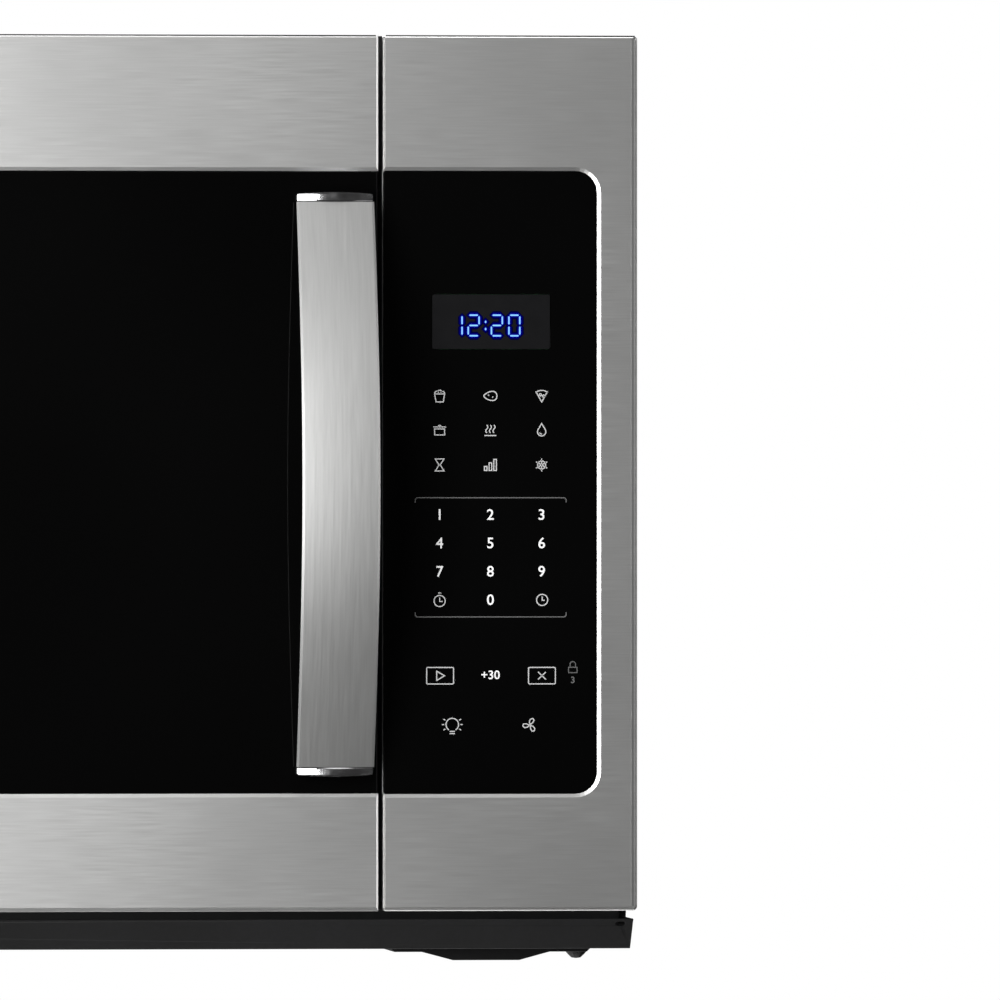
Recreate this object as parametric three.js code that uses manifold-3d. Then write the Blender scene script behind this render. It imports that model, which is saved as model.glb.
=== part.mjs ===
// Over the range microwave, 760 mm class, hung on a wall under a cupboard.
// Millimetres. X to the right, Y into the wall, Z up. The origin is the middle
// of the rear face where it meets the wall, and Z = 0 is half the front's height.
import * as THREE from "three";
import { mergeVertices } from "three/addons/utils/BufferGeometryUtils.js";
import Module from "manifold-3d";

const wasm = await Module();
wasm.setup();

// ---------- Driving dimensions ----------
const WIDTH = 760; // across the front panels
const FRONT_TOP = 217.8; // top of the front panels
const FRONT_BOTTOM = -199.4; // bottom of the front panels
const DEPTH = 394; // wall to the face of the stainless front
const SHEET = 1.2; // sheet steel of the casing
const FIT = 0.3; // gap left between touching pieces
const DOOR_DEPTH = 39.5; // door, front to back, without its handle
const DOOR_GAP = 2.5; // front plate to the back of the door
const SIDE_INSET = 1; // casing inside the front panels, each side
const TOP_INSET = 1.8; // casing's top under the front panels' top
const AIR_SIDE = 39; // air duct left of the cavity, casing included
const BAY_BEHIND_PANEL = 51.3; // electrics bay, past the control panel's left edge
const CAVITY_FLOOR = -128;
const CAVITY_ROOF = 126;
const CAVITY_BACK = 10; // wall to the inside of the cavity's back
const CAVITY_WALL = 1;
const CAVITY_RADIUS = 1.5; // folded corners of the cavity
const MOUTH_FLANGE = 18; // cavity flange round the mouth
const PANEL_WIDTH = 121.7; // control panel
const PANEL_GAP = 2.3; // door to control panel
const GLASS_TOP = 153; // black glass, door and panel alike
const GLASS_BOTTOM = -143.4;
const GLASS_SINK = 1.2; // glass face behind the stainless face
const GLASS_THICK = 4;
const PANEL_STRIP = 19.5; // stainless strip right of the touch glass
const PANEL_CORNER = 10.5; // touch glass corner radius
const CHAMFER = { side: 1.05, top: 1.2, bottom: 1.9, glass: 1.7 }; // widths on the stainless face
const CHAMFER_DEPTH = 0.75;
const BASE_BOTTOM = -217.8;
const BASE_SLOPE = 0.8; // how far the base's ends and back lean in
const BOSS_DROP = 6.2; // stamped boss under the base
const BOSS_STEP = 2.2; // the boss's outer step
const BOSS_INSET = 16.7; // boss to the casing's right side
const BOSS_DEPTH = 54; // boss, front to back
const HINGE_INSET = 12; // pin to the door's left end
const HINGE_PIN_R = 3;
const HANDLE_INSET = 21.2; // handle's middle to the door's free edge
const HANDLE_WIDTH = 37;
const HANDLE_HEAD = 14.8; // glass edge to the strap's top end
const HANDLE_FOOT = 12.8; // glass edge to the strap's bottom end
const HANDLE_STRAP = 3; // strap thickness
const HANDLE_BOW = 34; // middle of the strap, proud of its ends
const HANDLE_END_PROUD = 9; // strap's end face to the stainless face
const HANDLE_CAP = 4.4; // height of each polished cap
const DISPLAY_INSET = 23.3; // control panel's left edge to the display
const DISPLAY_WIDTH = 56.9;
const DISPLAY_BOTTOM = 68.1;
const DISPLAY_TOP = 94.6;
const WINDOW_SIDE = 40; // cavity wall to the door's window
const WINDOW_SILL = 16; // cavity floor to the window
const WINDOW_HEAD = 4; // window to the cavity roof
const TRAY_CLEAR = 12.25; // tray's rim to the cavity's back and to its mouth
const TRAY_THICK = 5;
const RING_R = 92; // roller track radius
const ROLLER_R = 8;
const ROLLER_WIDTH = 8;
const ROLLER_AXLE_R = 2;
const RUN_FIT = 0.35; // running clearance of axles and shafts
const BLOWER_R = 34;
const BLOWER_LENGTH = 92;
const BLOWER_BLADES = 13;
const BLOWER_Y = -60;
const BLOWER_RISE = 47; // cavity roof to the blower's shaft
const FAN_R = 44;
const FAN_BLADES = 5;

// ---------- Places worked out from them ----------
const HALF = WIDTH / 2;
const SIDE = HALF - SIDE_INSET;
const CABINET_TOP = FRONT_TOP - TOP_INSET;
const FRONT_Y = -DEPTH;
const DOOR_BACK_Y = FRONT_Y + DOOR_DEPTH;
const PLATE_Y = DOOR_BACK_Y + DOOR_GAP;
const CAVITY_LEFT = -SIDE + AIR_SIDE;
const PANEL_LEFT = HALF - PANEL_WIDTH;
const CAVITY_RIGHT = PANEL_LEFT - BAY_BEHIND_PANEL;
const DOOR_RIGHT = PANEL_LEFT - PANEL_GAP;
const HANDLE_X = DOOR_RIGHT - HANDLE_INSET;
const DISPLAY = {
  left: PANEL_LEFT + DISPLAY_INSET,
  right: PANEL_LEFT + DISPLAY_INSET + DISPLAY_WIDTH,
  bottom: DISPLAY_BOTTOM,
  top: DISPLAY_TOP,
};
const WINDOW = {
  left: CAVITY_LEFT + WINDOW_SIDE,
  right: CAVITY_RIGHT - WINDOW_SIDE,
  bottom: CAVITY_FLOOR + WINDOW_SILL,
  top: CAVITY_ROOF - WINDOW_HEAD,
};
const BLOWER_Z = CAVITY_ROOF + BLOWER_RISE;
const TOUCH_RIGHT = HALF - PANEL_STRIP;
const GLASS_Y = FRONT_Y + GLASS_SINK;
const CAVITY_X = (CAVITY_LEFT + CAVITY_RIGHT) / 2;
const HINGE_X = -HALF + HINGE_INSET;
const HINGE_Y = DOOR_BACK_Y - HINGE_INSET;
const CAVITY_MOUTH_Y = PLATE_Y + SHEET + FIT;
const CAVITY_BACK_Y = -CAVITY_BACK;
const TRAY_Y = (CAVITY_MOUTH_Y + CAVITY_BACK_Y) / 2;
const TRAY_R = (CAVITY_BACK_Y - CAVITY_MOUTH_Y) / 2 - TRAY_CLEAR;
const HANDLE_TOP = GLASS_TOP - HANDLE_HEAD;
const HANDLE_BOTTOM = GLASS_BOTTOM + HANDLE_FOOT;
const BASE_TOP = FRONT_BOTTOM;

// ---------- Solids and booleans ----------
const root = new THREE.Group();

function solid(geometry) {
  const bare = geometry.index ? geometry.clone() : geometry;
  const plain = new THREE.BufferGeometry();
  plain.setAttribute("position", bare.getAttribute("position").clone());
  if (bare.index) plain.setIndex(bare.index.clone());
  const merged = mergeVertices(plain, 1e-4);
  const mesh = new wasm.Mesh({
    numProp: 3,
    vertProperties: new Float32Array(merged.attributes.position.array),
    triVerts: new Uint32Array(merged.index.array),
  });
  return new wasm.Manifold(mesh);
}

function geometryOf(body) {
  const mesh = body.getMesh();
  const geometry = new THREE.BufferGeometry();
  geometry.setAttribute("position", new THREE.BufferAttribute(mesh.vertProperties, 3));
  geometry.setIndex(new THREE.BufferAttribute(mesh.triVerts, 1));
  return geometry.toNonIndexed();
}

const join = (...pieces) => pieces.flat().reduce((a, b) => a.add(b));
const cut = (body, ...tools) => tools.flat().reduce((a, b) => a.subtract(b), body);

// A box from its lowest corner to its highest.
function box(x0, x1, y0, y1, z0, z1) {
  const geometry = new THREE.BoxGeometry(x1 - x0, y1 - y0, z1 - z0);
  return solid(geometry.translate((x0 + x1) / 2, (y0 + y1) / 2, (z0 + z1) / 2));
}

// A cylinder or cone frustum centred on a point, along "x", "y" or "z".
function rod(axis, x, y, z, radius, length, sides = 24, endRadius = radius) {
  const geometry = new THREE.CylinderGeometry(endRadius, radius, length, sides);
  if (axis === "z") geometry.rotateX(Math.PI / 2);
  if (axis === "x") geometry.rotateZ(-Math.PI / 2);
  return solid(geometry.translate(x, y, z));
}

function outline(points) {
  return new THREE.Shape(points.map(([u, v]) => new THREE.Vector2(u, v)));
}

// A rectangle with its own radius at each corner: lower left, lower right, upper right, upper left.
function roundRect(x0, x1, y0, y1, radii) {
  const [a, b, c, d] = Array.isArray(radii) ? radii : [radii, radii, radii, radii];
  const shape = new THREE.Shape();
  shape.moveTo(x0 + a, y0);
  shape.lineTo(x1 - b, y0);
  if (b) shape.absarc(x1 - b, y0 + b, b, -Math.PI / 2, 0);
  shape.lineTo(x1, y1 - c);
  if (c) shape.absarc(x1 - c, y1 - c, c, 0, Math.PI / 2);
  shape.lineTo(x0 + d, y1);
  if (d) shape.absarc(x0 + d, y1 - d, d, Math.PI / 2, Math.PI);
  shape.lineTo(x0, y0 + a);
  if (a) shape.absarc(x0 + a, y0 + a, a, Math.PI, 1.5 * Math.PI);
  return shape;
}

function extruded(shape, depth, curveSegments = 2, bevel = 0) {
  return new THREE.ExtrudeGeometry(shape, {
    depth: depth - 2 * bevel,
    curveSegments,
    bevelEnabled: bevel > 0,
    bevelThickness: bevel,
    bevelSize: bevel,
    bevelOffset: -bevel,
    bevelSegments: 1,
  }).translate(0, 0, bevel);
}

// A shape drawn in X and Z, with its thickness from y0 to y1.
function plateXZ(shape, y0, y1, curveSegments = 2, bevel = 0) {
  const geometry = extruded(shape, y1 - y0, curveSegments, bevel);
  return solid(geometry.rotateX(Math.PI / 2).translate(0, y1, 0));
}

// A shape drawn in X and Y, from z0 to z1.
function plateXY(shape, z0, z1, curveSegments = 2, bevel = 0) {
  return solid(extruded(shape, z1 - z0, curveSegments, bevel).translate(0, 0, z0));
}

// A shape drawn in Y and Z, from x0 to x1.
function plateYZ(shape, x0, x1, curveSegments = 2) {
  const geometry = extruded(shape, x1 - x0, curveSegments);
  const swap = new THREE.Matrix4().set(0, 0, 1, 0, 1, 0, 0, 0, 0, 1, 0, 0, 0, 0, 0, 1);
  return solid(geometry.applyMatrix4(swap).translate(x0, 0, 0));
}

function circle(x, y, radius) {
  return new THREE.Shape().absarc(x, y, radius, 0, 2 * Math.PI);
}

// A turned piece: profile points are [radius, height] up the axis.
function turned(profile, sides) {
  const points = profile.map(([r, h]) => new THREE.Vector2(r, h));
  return new THREE.LatheGeometry(points, sides).rotateX(Math.PI / 2);
}

function grid(columns, rows, make) {
  const made = [];
  for (let c = 0; c < columns; c++)
    for (let r = 0; r < rows; r++) made.push(make(c, r));
  return made;
}

// ---------- Finishes ----------
const finish = (color, roughness, metalness) => ({ color, roughness, metalness });
const BRUSHED = finish(0xa8a8a6, 0.35, 1);
const POLISHED = finish(0xd8d8d8, 0.12, 1);
const BLACK_GLASS = finish(0x060606, 0.06, 0);
const CLEAR_GLASS = finish(0xcfdcd8, 0.05, 0);
const DARK_WINDOW = finish(0x1a1a1a, 0.2, 0);
const ZINC = finish(0xb4b6b4, 0.45, 0.9);
const BLACK_PAINT = finish(0x1a1a1a, 0.5, 0.2);
const ENAMEL = finish(0xd9d6cc, 0.35, 0.1);
const BLACK_PLASTIC = finish(0x1b1b1c, 0.5, 0);
const WHITE_PLASTIC = finish(0xe6e3da, 0.5, 0);
const ALUMINIUM = finish(0xb9bcbe, 0.4, 1);
const COPPER = finish(0x9c5a32, 0.4, 1);
const BOARD_GREEN = finish(0x2c5a35, 0.6, 0);
const MICA = finish(0xb7a98c, 0.7, 0);
const CHARCOAL = finish(0x242424, 0.95, 0);

function add(name, body, look) {
  const material = new THREE.MeshStandardMaterial(look);
  const geometry = body.isBufferGeometry ? body : geometryOf(body);
  const mesh = new THREE.Mesh(geometry, material);
  mesh.name = name;
  root.add(mesh);
  return mesh;
}

// ---------- Casing ----------
const GRILLE_SIDE = 49; // casing's left side to the grille
const GRILLE_END = 23; // grille to the casing's right side
const GRILLE_FRONT = 8; // front plate to the grille
const GRILLE_DEPTH = 34;
const GRILLE_THICK = 6;
const GRILLE_BAR = 4;
const TOP_GRILLE = {
  left: -SIDE + GRILLE_SIDE,
  right: SIDE - GRILLE_END,
  front: PLATE_Y + GRILLE_FRONT,
  back: PLATE_Y + GRILLE_FRONT + GRILLE_DEPTH,
  thick: GRILLE_THICK,
};
const DUCT_OPENING = { half: 130, front: -112, back: -32 };
const DUCT_LAP = 10; // cover plate past the duct opening
const CORD_INSET = 61; // cord hole to the casing's right side
const CORD_X = SIDE - CORD_INSET;
const CORD_Y = -30;
const CORD_HOLE_R = 11;
const TOP_BOLT = { x: 190, y: -270, radius: 3.6 };
const HANGER = { x: 300, z: FRONT_BOTTOM + 19.4, width: 34, height: 9 }; // slots for the wall plate's tabs
const RIB = { x: CAVITY_RIGHT - 19, width: 24, depth: 2.4, low: FRONT_BOTTOM + 110 };
const LATCH = { x: DOOR_RIGHT - 17, upper: 62, lower: -72, width: 6, reach: 20 };
const LATCH_SLOT = { width: 15, height: 26 };
const PANEL_OPENING = {
  left: PANEL_LEFT + 9.7,
  right: HALF - 16,
  bottom: FRONT_BOTTOM + 39.4,
  top: FRONT_TOP - 21.8,
};
const FILTER = { inner: 80, outer: SIDE - 29, front: -196, back: -60, thick: 8, rim: 9 };
const LENS = { left: -62, right: 62, front: PLATE_Y + 34, back: PLATE_Y + 102, thick: 4 };
const LIP_RUN = 12; // how far the base's front lip slopes back
const BASE_FRONT = FRONT_Y + 4;
const BASE_WALL = 1.6;
const DOOR_CLEAR = 4; // door's lower edge to the base lip
const LIP_SLOT = { inset: 6.3, drop: 6.4, width: 4.5, height: 2, depth: 9 }; // screw slots in the lip
const BOSS_FOOT = { inset: 5.7, back: 18 }; // round foot, from the boss's right end and its front

const CABINET_INNER = SIDE - SHEET;
const CABINET_ROOF = CABINET_TOP - SHEET;

function outerCabinet() {
  const outside = plateXZ(roundRect(-SIDE, SIDE, FRONT_BOTTOM, CABINET_TOP, [0, 0, 3, 3]), PLATE_Y, 0);
  const inside = box(-CABINET_INNER, CABINET_INNER, PLATE_Y - 1, 1, FRONT_BOTTOM - 1, CABINET_ROOF);
  const returns = [-1, 1].map((side) => {
    const edge = side * (CABINET_INNER + SHEET / 2);
    const reach = side * (CABINET_INNER - 14);
    return box(Math.min(edge, reach), Math.max(edge, reach), PLATE_Y + 4, -4,
      FRONT_BOTTOM, FRONT_BOTTOM + SHEET);
  });
  const top = (x0, x1, y0, y1) => box(x0, x1, y0, y1, CABINET_ROOF - 1, CABINET_TOP + 1);
  const g = TOP_GRILLE;
  const openings = [
    top(g.left, g.right, g.front, g.back),
    top(-DUCT_OPENING.half, DUCT_OPENING.half, DUCT_OPENING.front, DUCT_OPENING.back),
    rod("z", CORD_X, CORD_Y, CABINET_TOP, CORD_HOLE_R, 8, 10),
    ...[-1, 1].map((s) => rod("z", s * TOP_BOLT.x, TOP_BOLT.y, CABINET_TOP, TOP_BOLT.radius, 8, 10)),
  ];
  return cut(join(cut(outside, inside), returns), openings);
}

function rearPanel() {
  const half = CABINET_INNER - FIT;
  const sheet = box(-half, half, -SHEET, 0, FRONT_BOTTOM + SHEET + FIT, CABINET_ROOF - FIT);
  const low = RIB.low;
  const high = CAVITY_ROOF;
  const ribs = [-1, 1].map((side) => {
    const x = side * RIB.x;
    return box(x - RIB.width / 2, x + RIB.width / 2, -RIB.depth - SHEET, -SHEET / 2, low, high);
  });
  const grooves = [-1, 1].map((side) => {
    const x = side * RIB.x;
    const half = RIB.width / 2 - SHEET;
    return box(x - half, x + half, -RIB.depth, 1, low + SHEET, high - SHEET);
  });
  const slots = [-1, 1].map((side) => {
    const x = side * HANGER.x;
    const z = HANGER.z;
    const shape = roundRect(x - HANGER.width / 2, x + HANGER.width / 2, z, z + HANGER.height, 3);
    return plateXZ(shape, -9, 9, 1);
  });
  return cut(join(sheet, ribs), grooves, slots);
}

function latchSlot(z) {
  const w = LATCH_SLOT.width / 2;
  const h = LATCH_SLOT.height / 2;
  return plateXZ(roundRect(LATCH.x - w, LATCH.x + w, z - h, z + h, 2), PLATE_Y - 5, PLATE_Y + 5, 1);
}

function frontPlate() {
  const half = CABINET_INNER - FIT;
  const sheet = box(-half, half, PLATE_Y, PLATE_Y + SHEET, FRONT_BOTTOM + SHEET + FIT, CABINET_ROOF - FIT);
  const mouth = plateXZ(roundRect(CAVITY_LEFT, CAVITY_RIGHT, CAVITY_FLOOR, CAVITY_ROOF, CAVITY_RADIUS),
    PLATE_Y - 5, PLATE_Y + 5);
  const p = PANEL_OPENING;
  const bay = plateXZ(roundRect(p.left, p.right, p.bottom, p.top, 6), PLATE_Y - 5, PLATE_Y + 5);
  return cut(sheet, mouth, bay, latchSlot(LATCH.upper), latchSlot(LATCH.lower));
}

// A block whose top and bottom rectangles differ: [x0, x1, y0, y1] at each height.
function tapered(low, zLow, high, zHigh) {
  const corners = [];
  for (const [[x0, x1, y0, y1], z] of [[low, zLow], [high, zHigh]])
    corners.push(x0, y0, z, x1, y0, z, x1, y1, z, x0, y1, z);
  const geometry = new THREE.BufferGeometry();
  geometry.setAttribute("position", new THREE.Float32BufferAttribute(corners, 3));
  const sides = [0, 1, 2, 3].flatMap((i) => {
    const next = (i + 1) % 4;
    return [i, next, next + 4, i, next + 4, i + 4];
  });
  geometry.setIndex([0, 2, 1, 0, 3, 2, 4, 5, 6, 4, 6, 7, ...sides]);
  return solid(geometry);
}

function filterOpening(side, grow) {
  const inner = side * (FILTER.inner - grow);
  const outer = side * (FILTER.outer + grow);
  return [Math.min(inner, outer), Math.max(inner, outer), FILTER.front - grow, FILTER.back + grow];
}

// The drawn boss under the right of the base, with its small round foot.
function baseBoss() {
  const x = SIDE - BOSS_INSET;
  const z = BASE_BOTTOM + BASE_WALL;
  const low = BASE_BOTTOM - BOSS_STEP;
  const deep = BASE_BOTTOM - BOSS_DROP;
  const profile = outline([
    [x - 96.8, z], [x - 96.8, BASE_BOTTOM], [x - 94.8, low], [x - 81.7, low], [x - 66.7, deep],
    [x - 34.8, deep], [x - 20.2, low], [x - 2.2, low], [x, BASE_BOTTOM], [x, z],
  ]);
  const foot = turned([[0, -5.8], [2.2, -5.5], [4, -3.8], [5.4, -BOSS_STEP], [5.4, 1.5], [0, 1.5]], 14);
  const body = plateXZ(profile, PLATE_Y, PLATE_Y + BOSS_DEPTH);
  return join(body, solid(foot.translate(x - BOSS_FOOT.inset, PLATE_Y + BOSS_FOOT.back, BASE_BOTTOM)));
}

// Slots for the three screws that hold the front lip.
function lipSlots() {
  const l = LIP_SLOT;
  const z = BASE_TOP - l.drop;
  return [-1, 0, 1].map((side) => {
    const x = side * (SIDE - l.inset);
    const shape = roundRect(x - l.width / 2, x + l.width / 2, z - l.height / 2, z + l.height / 2, 0.95);
    return plateXZ(shape, BASE_FRONT - 1, BASE_FRONT + l.depth, 2);
  });
}

function basePan() {
  const lip = BASE_FRONT;
  const top = BASE_TOP - FIT;
  const s = BASE_SLOPE;
  const w = BASE_WALL;
  const outside = tapered([-SIDE + s, SIDE - s, lip + LIP_RUN, -s], BASE_BOTTOM, [-SIDE, SIDE, lip, 0], top);
  const inside = tapered([-SIDE + s + w, SIDE - s - w, lip + LIP_RUN + w, -s - w], BASE_BOTTOM + w,
    [-SIDE + w, SIDE - w, lip + 2 * w, -w], top + 0.01);
  const shelf = box(-SIDE - 1, SIDE + 1, lip - 1, PLATE_Y, BASE_TOP - DOOR_CLEAR, top + 1);
  const filters = [-1, 1].map((side) => {
    const [x0, x1, y0, y1] = filterOpening(side, 0.5);
    return box(x0, x1, y0, y1, BASE_BOTTOM - 3, BASE_BOTTOM + 3);
  });
  const lens = box(LENS.left, LENS.right, LENS.front, LENS.back, BASE_BOTTOM - 3, BASE_BOTTOM + 3);
  return cut(join(cut(outside, inside, shelf), baseBoss()), filters, lens, lipSlots());
}

function greaseFilter(side) {
  const [x0, x1, y0, y1] = filterOpening(side, 0);
  const low = BASE_BOTTOM;
  const rim = FILTER.rim;
  const frame = cut(box(x0, x1, y0, y1, low, low + FILTER.thick),
    box(x0 + rim, x1 - rim, y0 + rim, y1 - rim, low - 1, low + FILTER.thick + 1));
  const columns = 4;
  const rows = 3;
  const stepX = (x1 - x0 - 2 * rim) / columns;
  const stepY = (y1 - y0 - 2 * rim) / rows;
  const web = 2.4;
  const sheet = box(x0 + rim / 2, x1 - rim / 2, y0 + rim / 2, y1 - rim / 2, low + 2.5, low + 5);
  const holes = grid(columns, rows, (c, r) => {
    const x = x0 + rim + c * stepX;
    const y = y0 + rim + r * stepY;
    return box(x + web, x + stepX - web, y + web, y + stepY - web, low, low + FILTER.thick);
  });
  const tab = box((x0 + x1) / 2 - 12, (x0 + x1) / 2 + 12, y0 + 2, y0 + 5, low - 3.5, low + 1);
  return join(cut(sheet, holes), frame, tab);
}

function ventGrille() {
  const g = TOP_GRILLE;
  const low = CABINET_TOP - g.thick;
  const columns = 6;
  const rows = 3;
  const body = box(g.left + FIT, g.right - FIT, g.front + FIT, g.back - FIT, low, CABINET_TOP);
  const stepX = (g.right - g.left - GRILLE_BAR) / columns;
  const stepY = (g.back - g.front - GRILLE_BAR) / rows;
  const slots = grid(columns, rows, (c, r) => {
    const x = g.left + GRILLE_BAR + c * stepX;
    const y = g.front + GRILLE_BAR + r * stepY;
    const lean = outline([[y, low - 1], [y + stepY - GRILLE_BAR, low - 1],
      [y + stepY - GRILLE_BAR + 2, CABINET_TOP + 1], [y + 2, CABINET_TOP + 1]]);
    return plateYZ(lean, x, x + stepX - GRILLE_BAR);
  });
  return cut(body, slots);
}

function charcoalFilter() {
  const top = CABINET_TOP - TOP_GRILLE.thick - FIT;
  const x0 = CAVITY_X - 154;
  const x1 = CAVITY_X + 166;
  const body = box(x0, x1, TOP_GRILLE.front + 4, TOP_GRILLE.back + 52, top - 16, top);
  const cells = grid(4, 2, (c, r) => {
    const x = x0 + 6 + c * 78;
    const y = TOP_GRILLE.front + 10 + r * 39;
    return box(x, x + 72, y, y + 33, top - 17, top - 13);
  });
  // The back half drops below the roof sheet.
  const step = box(x0 - 1, x1 + 1, TOP_GRILLE.back - FIT, TOP_GRILLE.back + 60, top - 1, top + 1);
  return cut(body, cells, step);
}

function ductCover() {
  const d = DUCT_OPENING;
  const low = CABINET_TOP + FIT;
  const reach = d.half + DUCT_LAP;
  const plate = plateXY(roundRect(-reach, reach, d.front - DUCT_LAP, d.back + DUCT_LAP, 6), low, low + 1);
  const heads = grid(2, 2, (c, r) => {
    const x = (c ? 1 : -1) * (d.half + DUCT_LAP / 2);
    const y = r ? d.front - DUCT_LAP / 2 : d.back + DUCT_LAP / 2;
    return rod("z", x, y, low + 0.7, 3, 1, 6);
  });
  return join(plate, heads);
}

function cordGland() {
  const r = CORD_HOLE_R;
  const profile = [[4.5, -9], [r - 3, -9], [r + 2.5, -4], [r + 2.5, -SHEET - FIT], [r - FIT, -SHEET - FIT],
    [r - FIT, FIT], [r + 2.5, FIT], [r + 2, 1.4], [4.5, 1.4], [4.5, -9]];
  return solid(turned(profile, 10).translate(CORD_X, CORD_Y, CABINET_TOP));
}

add("outer_cabinet", outerCabinet(), BLACK_PAINT);
add("rear_panel", rearPanel(), ZINC);
add("front_plate", frontPlate(), BLACK_PAINT);
add("base_pan", basePan(), BLACK_PAINT);
add("grease_filter_left", greaseFilter(-1), ALUMINIUM);
add("grease_filter_right", greaseFilter(1), ALUMINIUM);
add("vent_grille", ventGrille(), BLACK_PLASTIC);
add("charcoal_filter", charcoalFilter(), CHARCOAL);
add("duct_cover", ductCover(), ZINC);
add("cord_gland", cordGland(), BLACK_PLASTIC);

// ---------- Oven cavity and turntable ----------
const SOURCE_SHIFT = 5.25; // magnetron behind the turntable's middle
const SOURCE_DROP = 74; // cavity roof to the magnetron's middle
const SOURCE_Y = TRAY_Y + SOURCE_SHIFT;
const SOURCE_Z = CAVITY_ROOF - SOURCE_DROP;
const PORT_HALF_DEPTH = 37;
const PORT_HALF_HEIGHT = 30;
const PORT = {
  y0: SOURCE_Y - PORT_HALF_DEPTH,
  y1: SOURCE_Y + PORT_HALF_DEPTH,
  z0: SOURCE_Z - PORT_HALF_HEIGHT,
  z1: SOURCE_Z + PORT_HALF_HEIGHT,
};
const GUIDE_FLANGE = 16; // port edge to the waveguide's flange edge
const BRACKET_DEPTH = 44; // interlock bracket, front to back
const LAMP_DROP = 30; // cavity roof to the lamp's middle
const LAMP = {
  y: (CAVITY_MOUTH_Y + BRACKET_DEPTH + PORT.y0 - GUIDE_FLANGE) / 2,
  z: CAVITY_ROOF - LAMP_DROP,
};
const TRACK_HEIGHT = 1.2;
const SHAFT_HOLE_R = 8;
const COUPLER_R = 11;
const COUPLER_LOBE_R = 4;
const COUPLER_SHAFT_R = 4;
const ROLLER_Z = CAVITY_FLOOR + TRACK_HEIGHT + FIT + ROLLER_R;
const TRAY_BOTTOM = ROLLER_Z + ROLLER_R + FIT;
const COUPLER_CLEAR = 1.3; // coupler's top to the tray's underside
const COUPLER_TOP = TRAY_BOTTOM - COUPLER_CLEAR;
const TRAY_RIM = 13;
const CAVITY_UNDER = CAVITY_FLOOR - CAVITY_WALL;

function cavityOutline(grow) {
  return roundRect(CAVITY_LEFT - grow, CAVITY_RIGHT + grow, CAVITY_FLOOR - grow, CAVITY_ROOF + grow,
    CAVITY_RADIUS + grow);
}

function ovenCavity() {
  const w = CAVITY_WALL;
  const outside = plateXZ(cavityOutline(w), CAVITY_MOUTH_Y, CAVITY_BACK_Y + w, 1);
  const inside = plateXZ(cavityOutline(0), CAVITY_MOUTH_Y - 1, CAVITY_BACK_Y, 1);
  const flange = plateXZ(cavityOutline(MOUTH_FLANGE), CAVITY_MOUTH_Y, CAVITY_MOUTH_Y + w, 1);
  const track = solid(turned([[RING_R - 12, -w / 2], [RING_R + 12, -w / 2], [RING_R + 10, TRACK_HEIGHT],
    [RING_R - 10, TRACK_HEIGHT], [RING_R - 12, -w / 2]], 18).translate(CAVITY_X, TRAY_Y, CAVITY_FLOOR));
  const port = box(CAVITY_RIGHT - 2, CAVITY_RIGHT + 5, PORT.y0, PORT.y1, PORT.z0, PORT.z1);
  const lampHoles = grid(4, 1, (c) => {
    const y = LAMP.y - 15 + c * 8;
    return box(CAVITY_RIGHT - 2, CAVITY_RIGHT + 5, y, y + 5, LAMP.z - 14, LAMP.z + 14);
  });
  const airHoles = grid(5, 1, (c) => {
    const y = -120 + c * 12;
    return box(CAVITY_LEFT - 5, CAVITY_LEFT + 2, y, y + 7, 60, 90);
  });
  const shaft = rod("z", CAVITY_X, TRAY_Y, CAVITY_FLOOR, SHAFT_HOLE_R, 10, 16);
  return cut(join(cut(join(outside, flange), inside), track), port, shaft, lampHoles, airHoles);
}

function waveguideCover() {
  const x = CAVITY_RIGHT - FIT;
  const sheet = roundRect(PORT.y0 - 9, PORT.y1 + 9, PORT.z0 - 9, PORT.z1 + 9, 5);
  const screw = rod("x", x - 1.4, PORT.y0 - 5, PORT.z1 + 4, 3.4, 1.6, 12);
  return join(plateYZ(sheet, x - 0.8, x), screw);
}

function turntableMotor() {
  const top = CAVITY_UNDER - FIT;
  const can = rod("z", CAVITY_X, TRAY_Y, top - 9, 25, 18, 16);
  const ears = plateXY(roundRect(CAVITY_X - 34, CAVITY_X + 34, TRAY_Y - 7, TRAY_Y + 7, 7), top - 1.4, top, 1);
  const plug = box(CAVITY_X - 8, CAVITY_X + 8, TRAY_Y + 20, TRAY_Y + 34, top - 14, top - 5);
  const bore = rod("z", CAVITY_X, TRAY_Y, top - 5, COUPLER_SHAFT_R + RUN_FIT, 14, 14);
  const holes = [-1, 1].map((s) => rod("z", CAVITY_X + s * 29, TRAY_Y, top, 2.2, 8, 8));
  return cut(join(can, ears, plug), bore, holes);
}

function driveCoupler() {
  const seat = CAVITY_FLOOR + FIT;
  const middle = (seat + CAVITY_UNDER - 11) / 2;
  const shaft = rod("z", CAVITY_X, TRAY_Y, middle, COUPLER_SHAFT_R, seat - CAVITY_UNDER + 13, 14);
  const hub = rod("z", CAVITY_X, TRAY_Y, (seat + COUPLER_TOP) / 2, COUPLER_R - 3, COUPLER_TOP - seat, 16);
  const lobes = [0, 1, 2].map((i) => {
    const turn = (i * 2 * Math.PI) / 3;
    const x = CAVITY_X + (COUPLER_R - COUPLER_LOBE_R) * Math.cos(turn);
    const y = TRAY_Y + (COUPLER_R - COUPLER_LOBE_R) * Math.sin(turn);
    return rod("z", x, y, (seat + 3 + COUPLER_TOP) / 2, COUPLER_LOBE_R, COUPLER_TOP - seat - 3, 10);
  });
  return join(shaft, hub, lobes);
}

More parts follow.
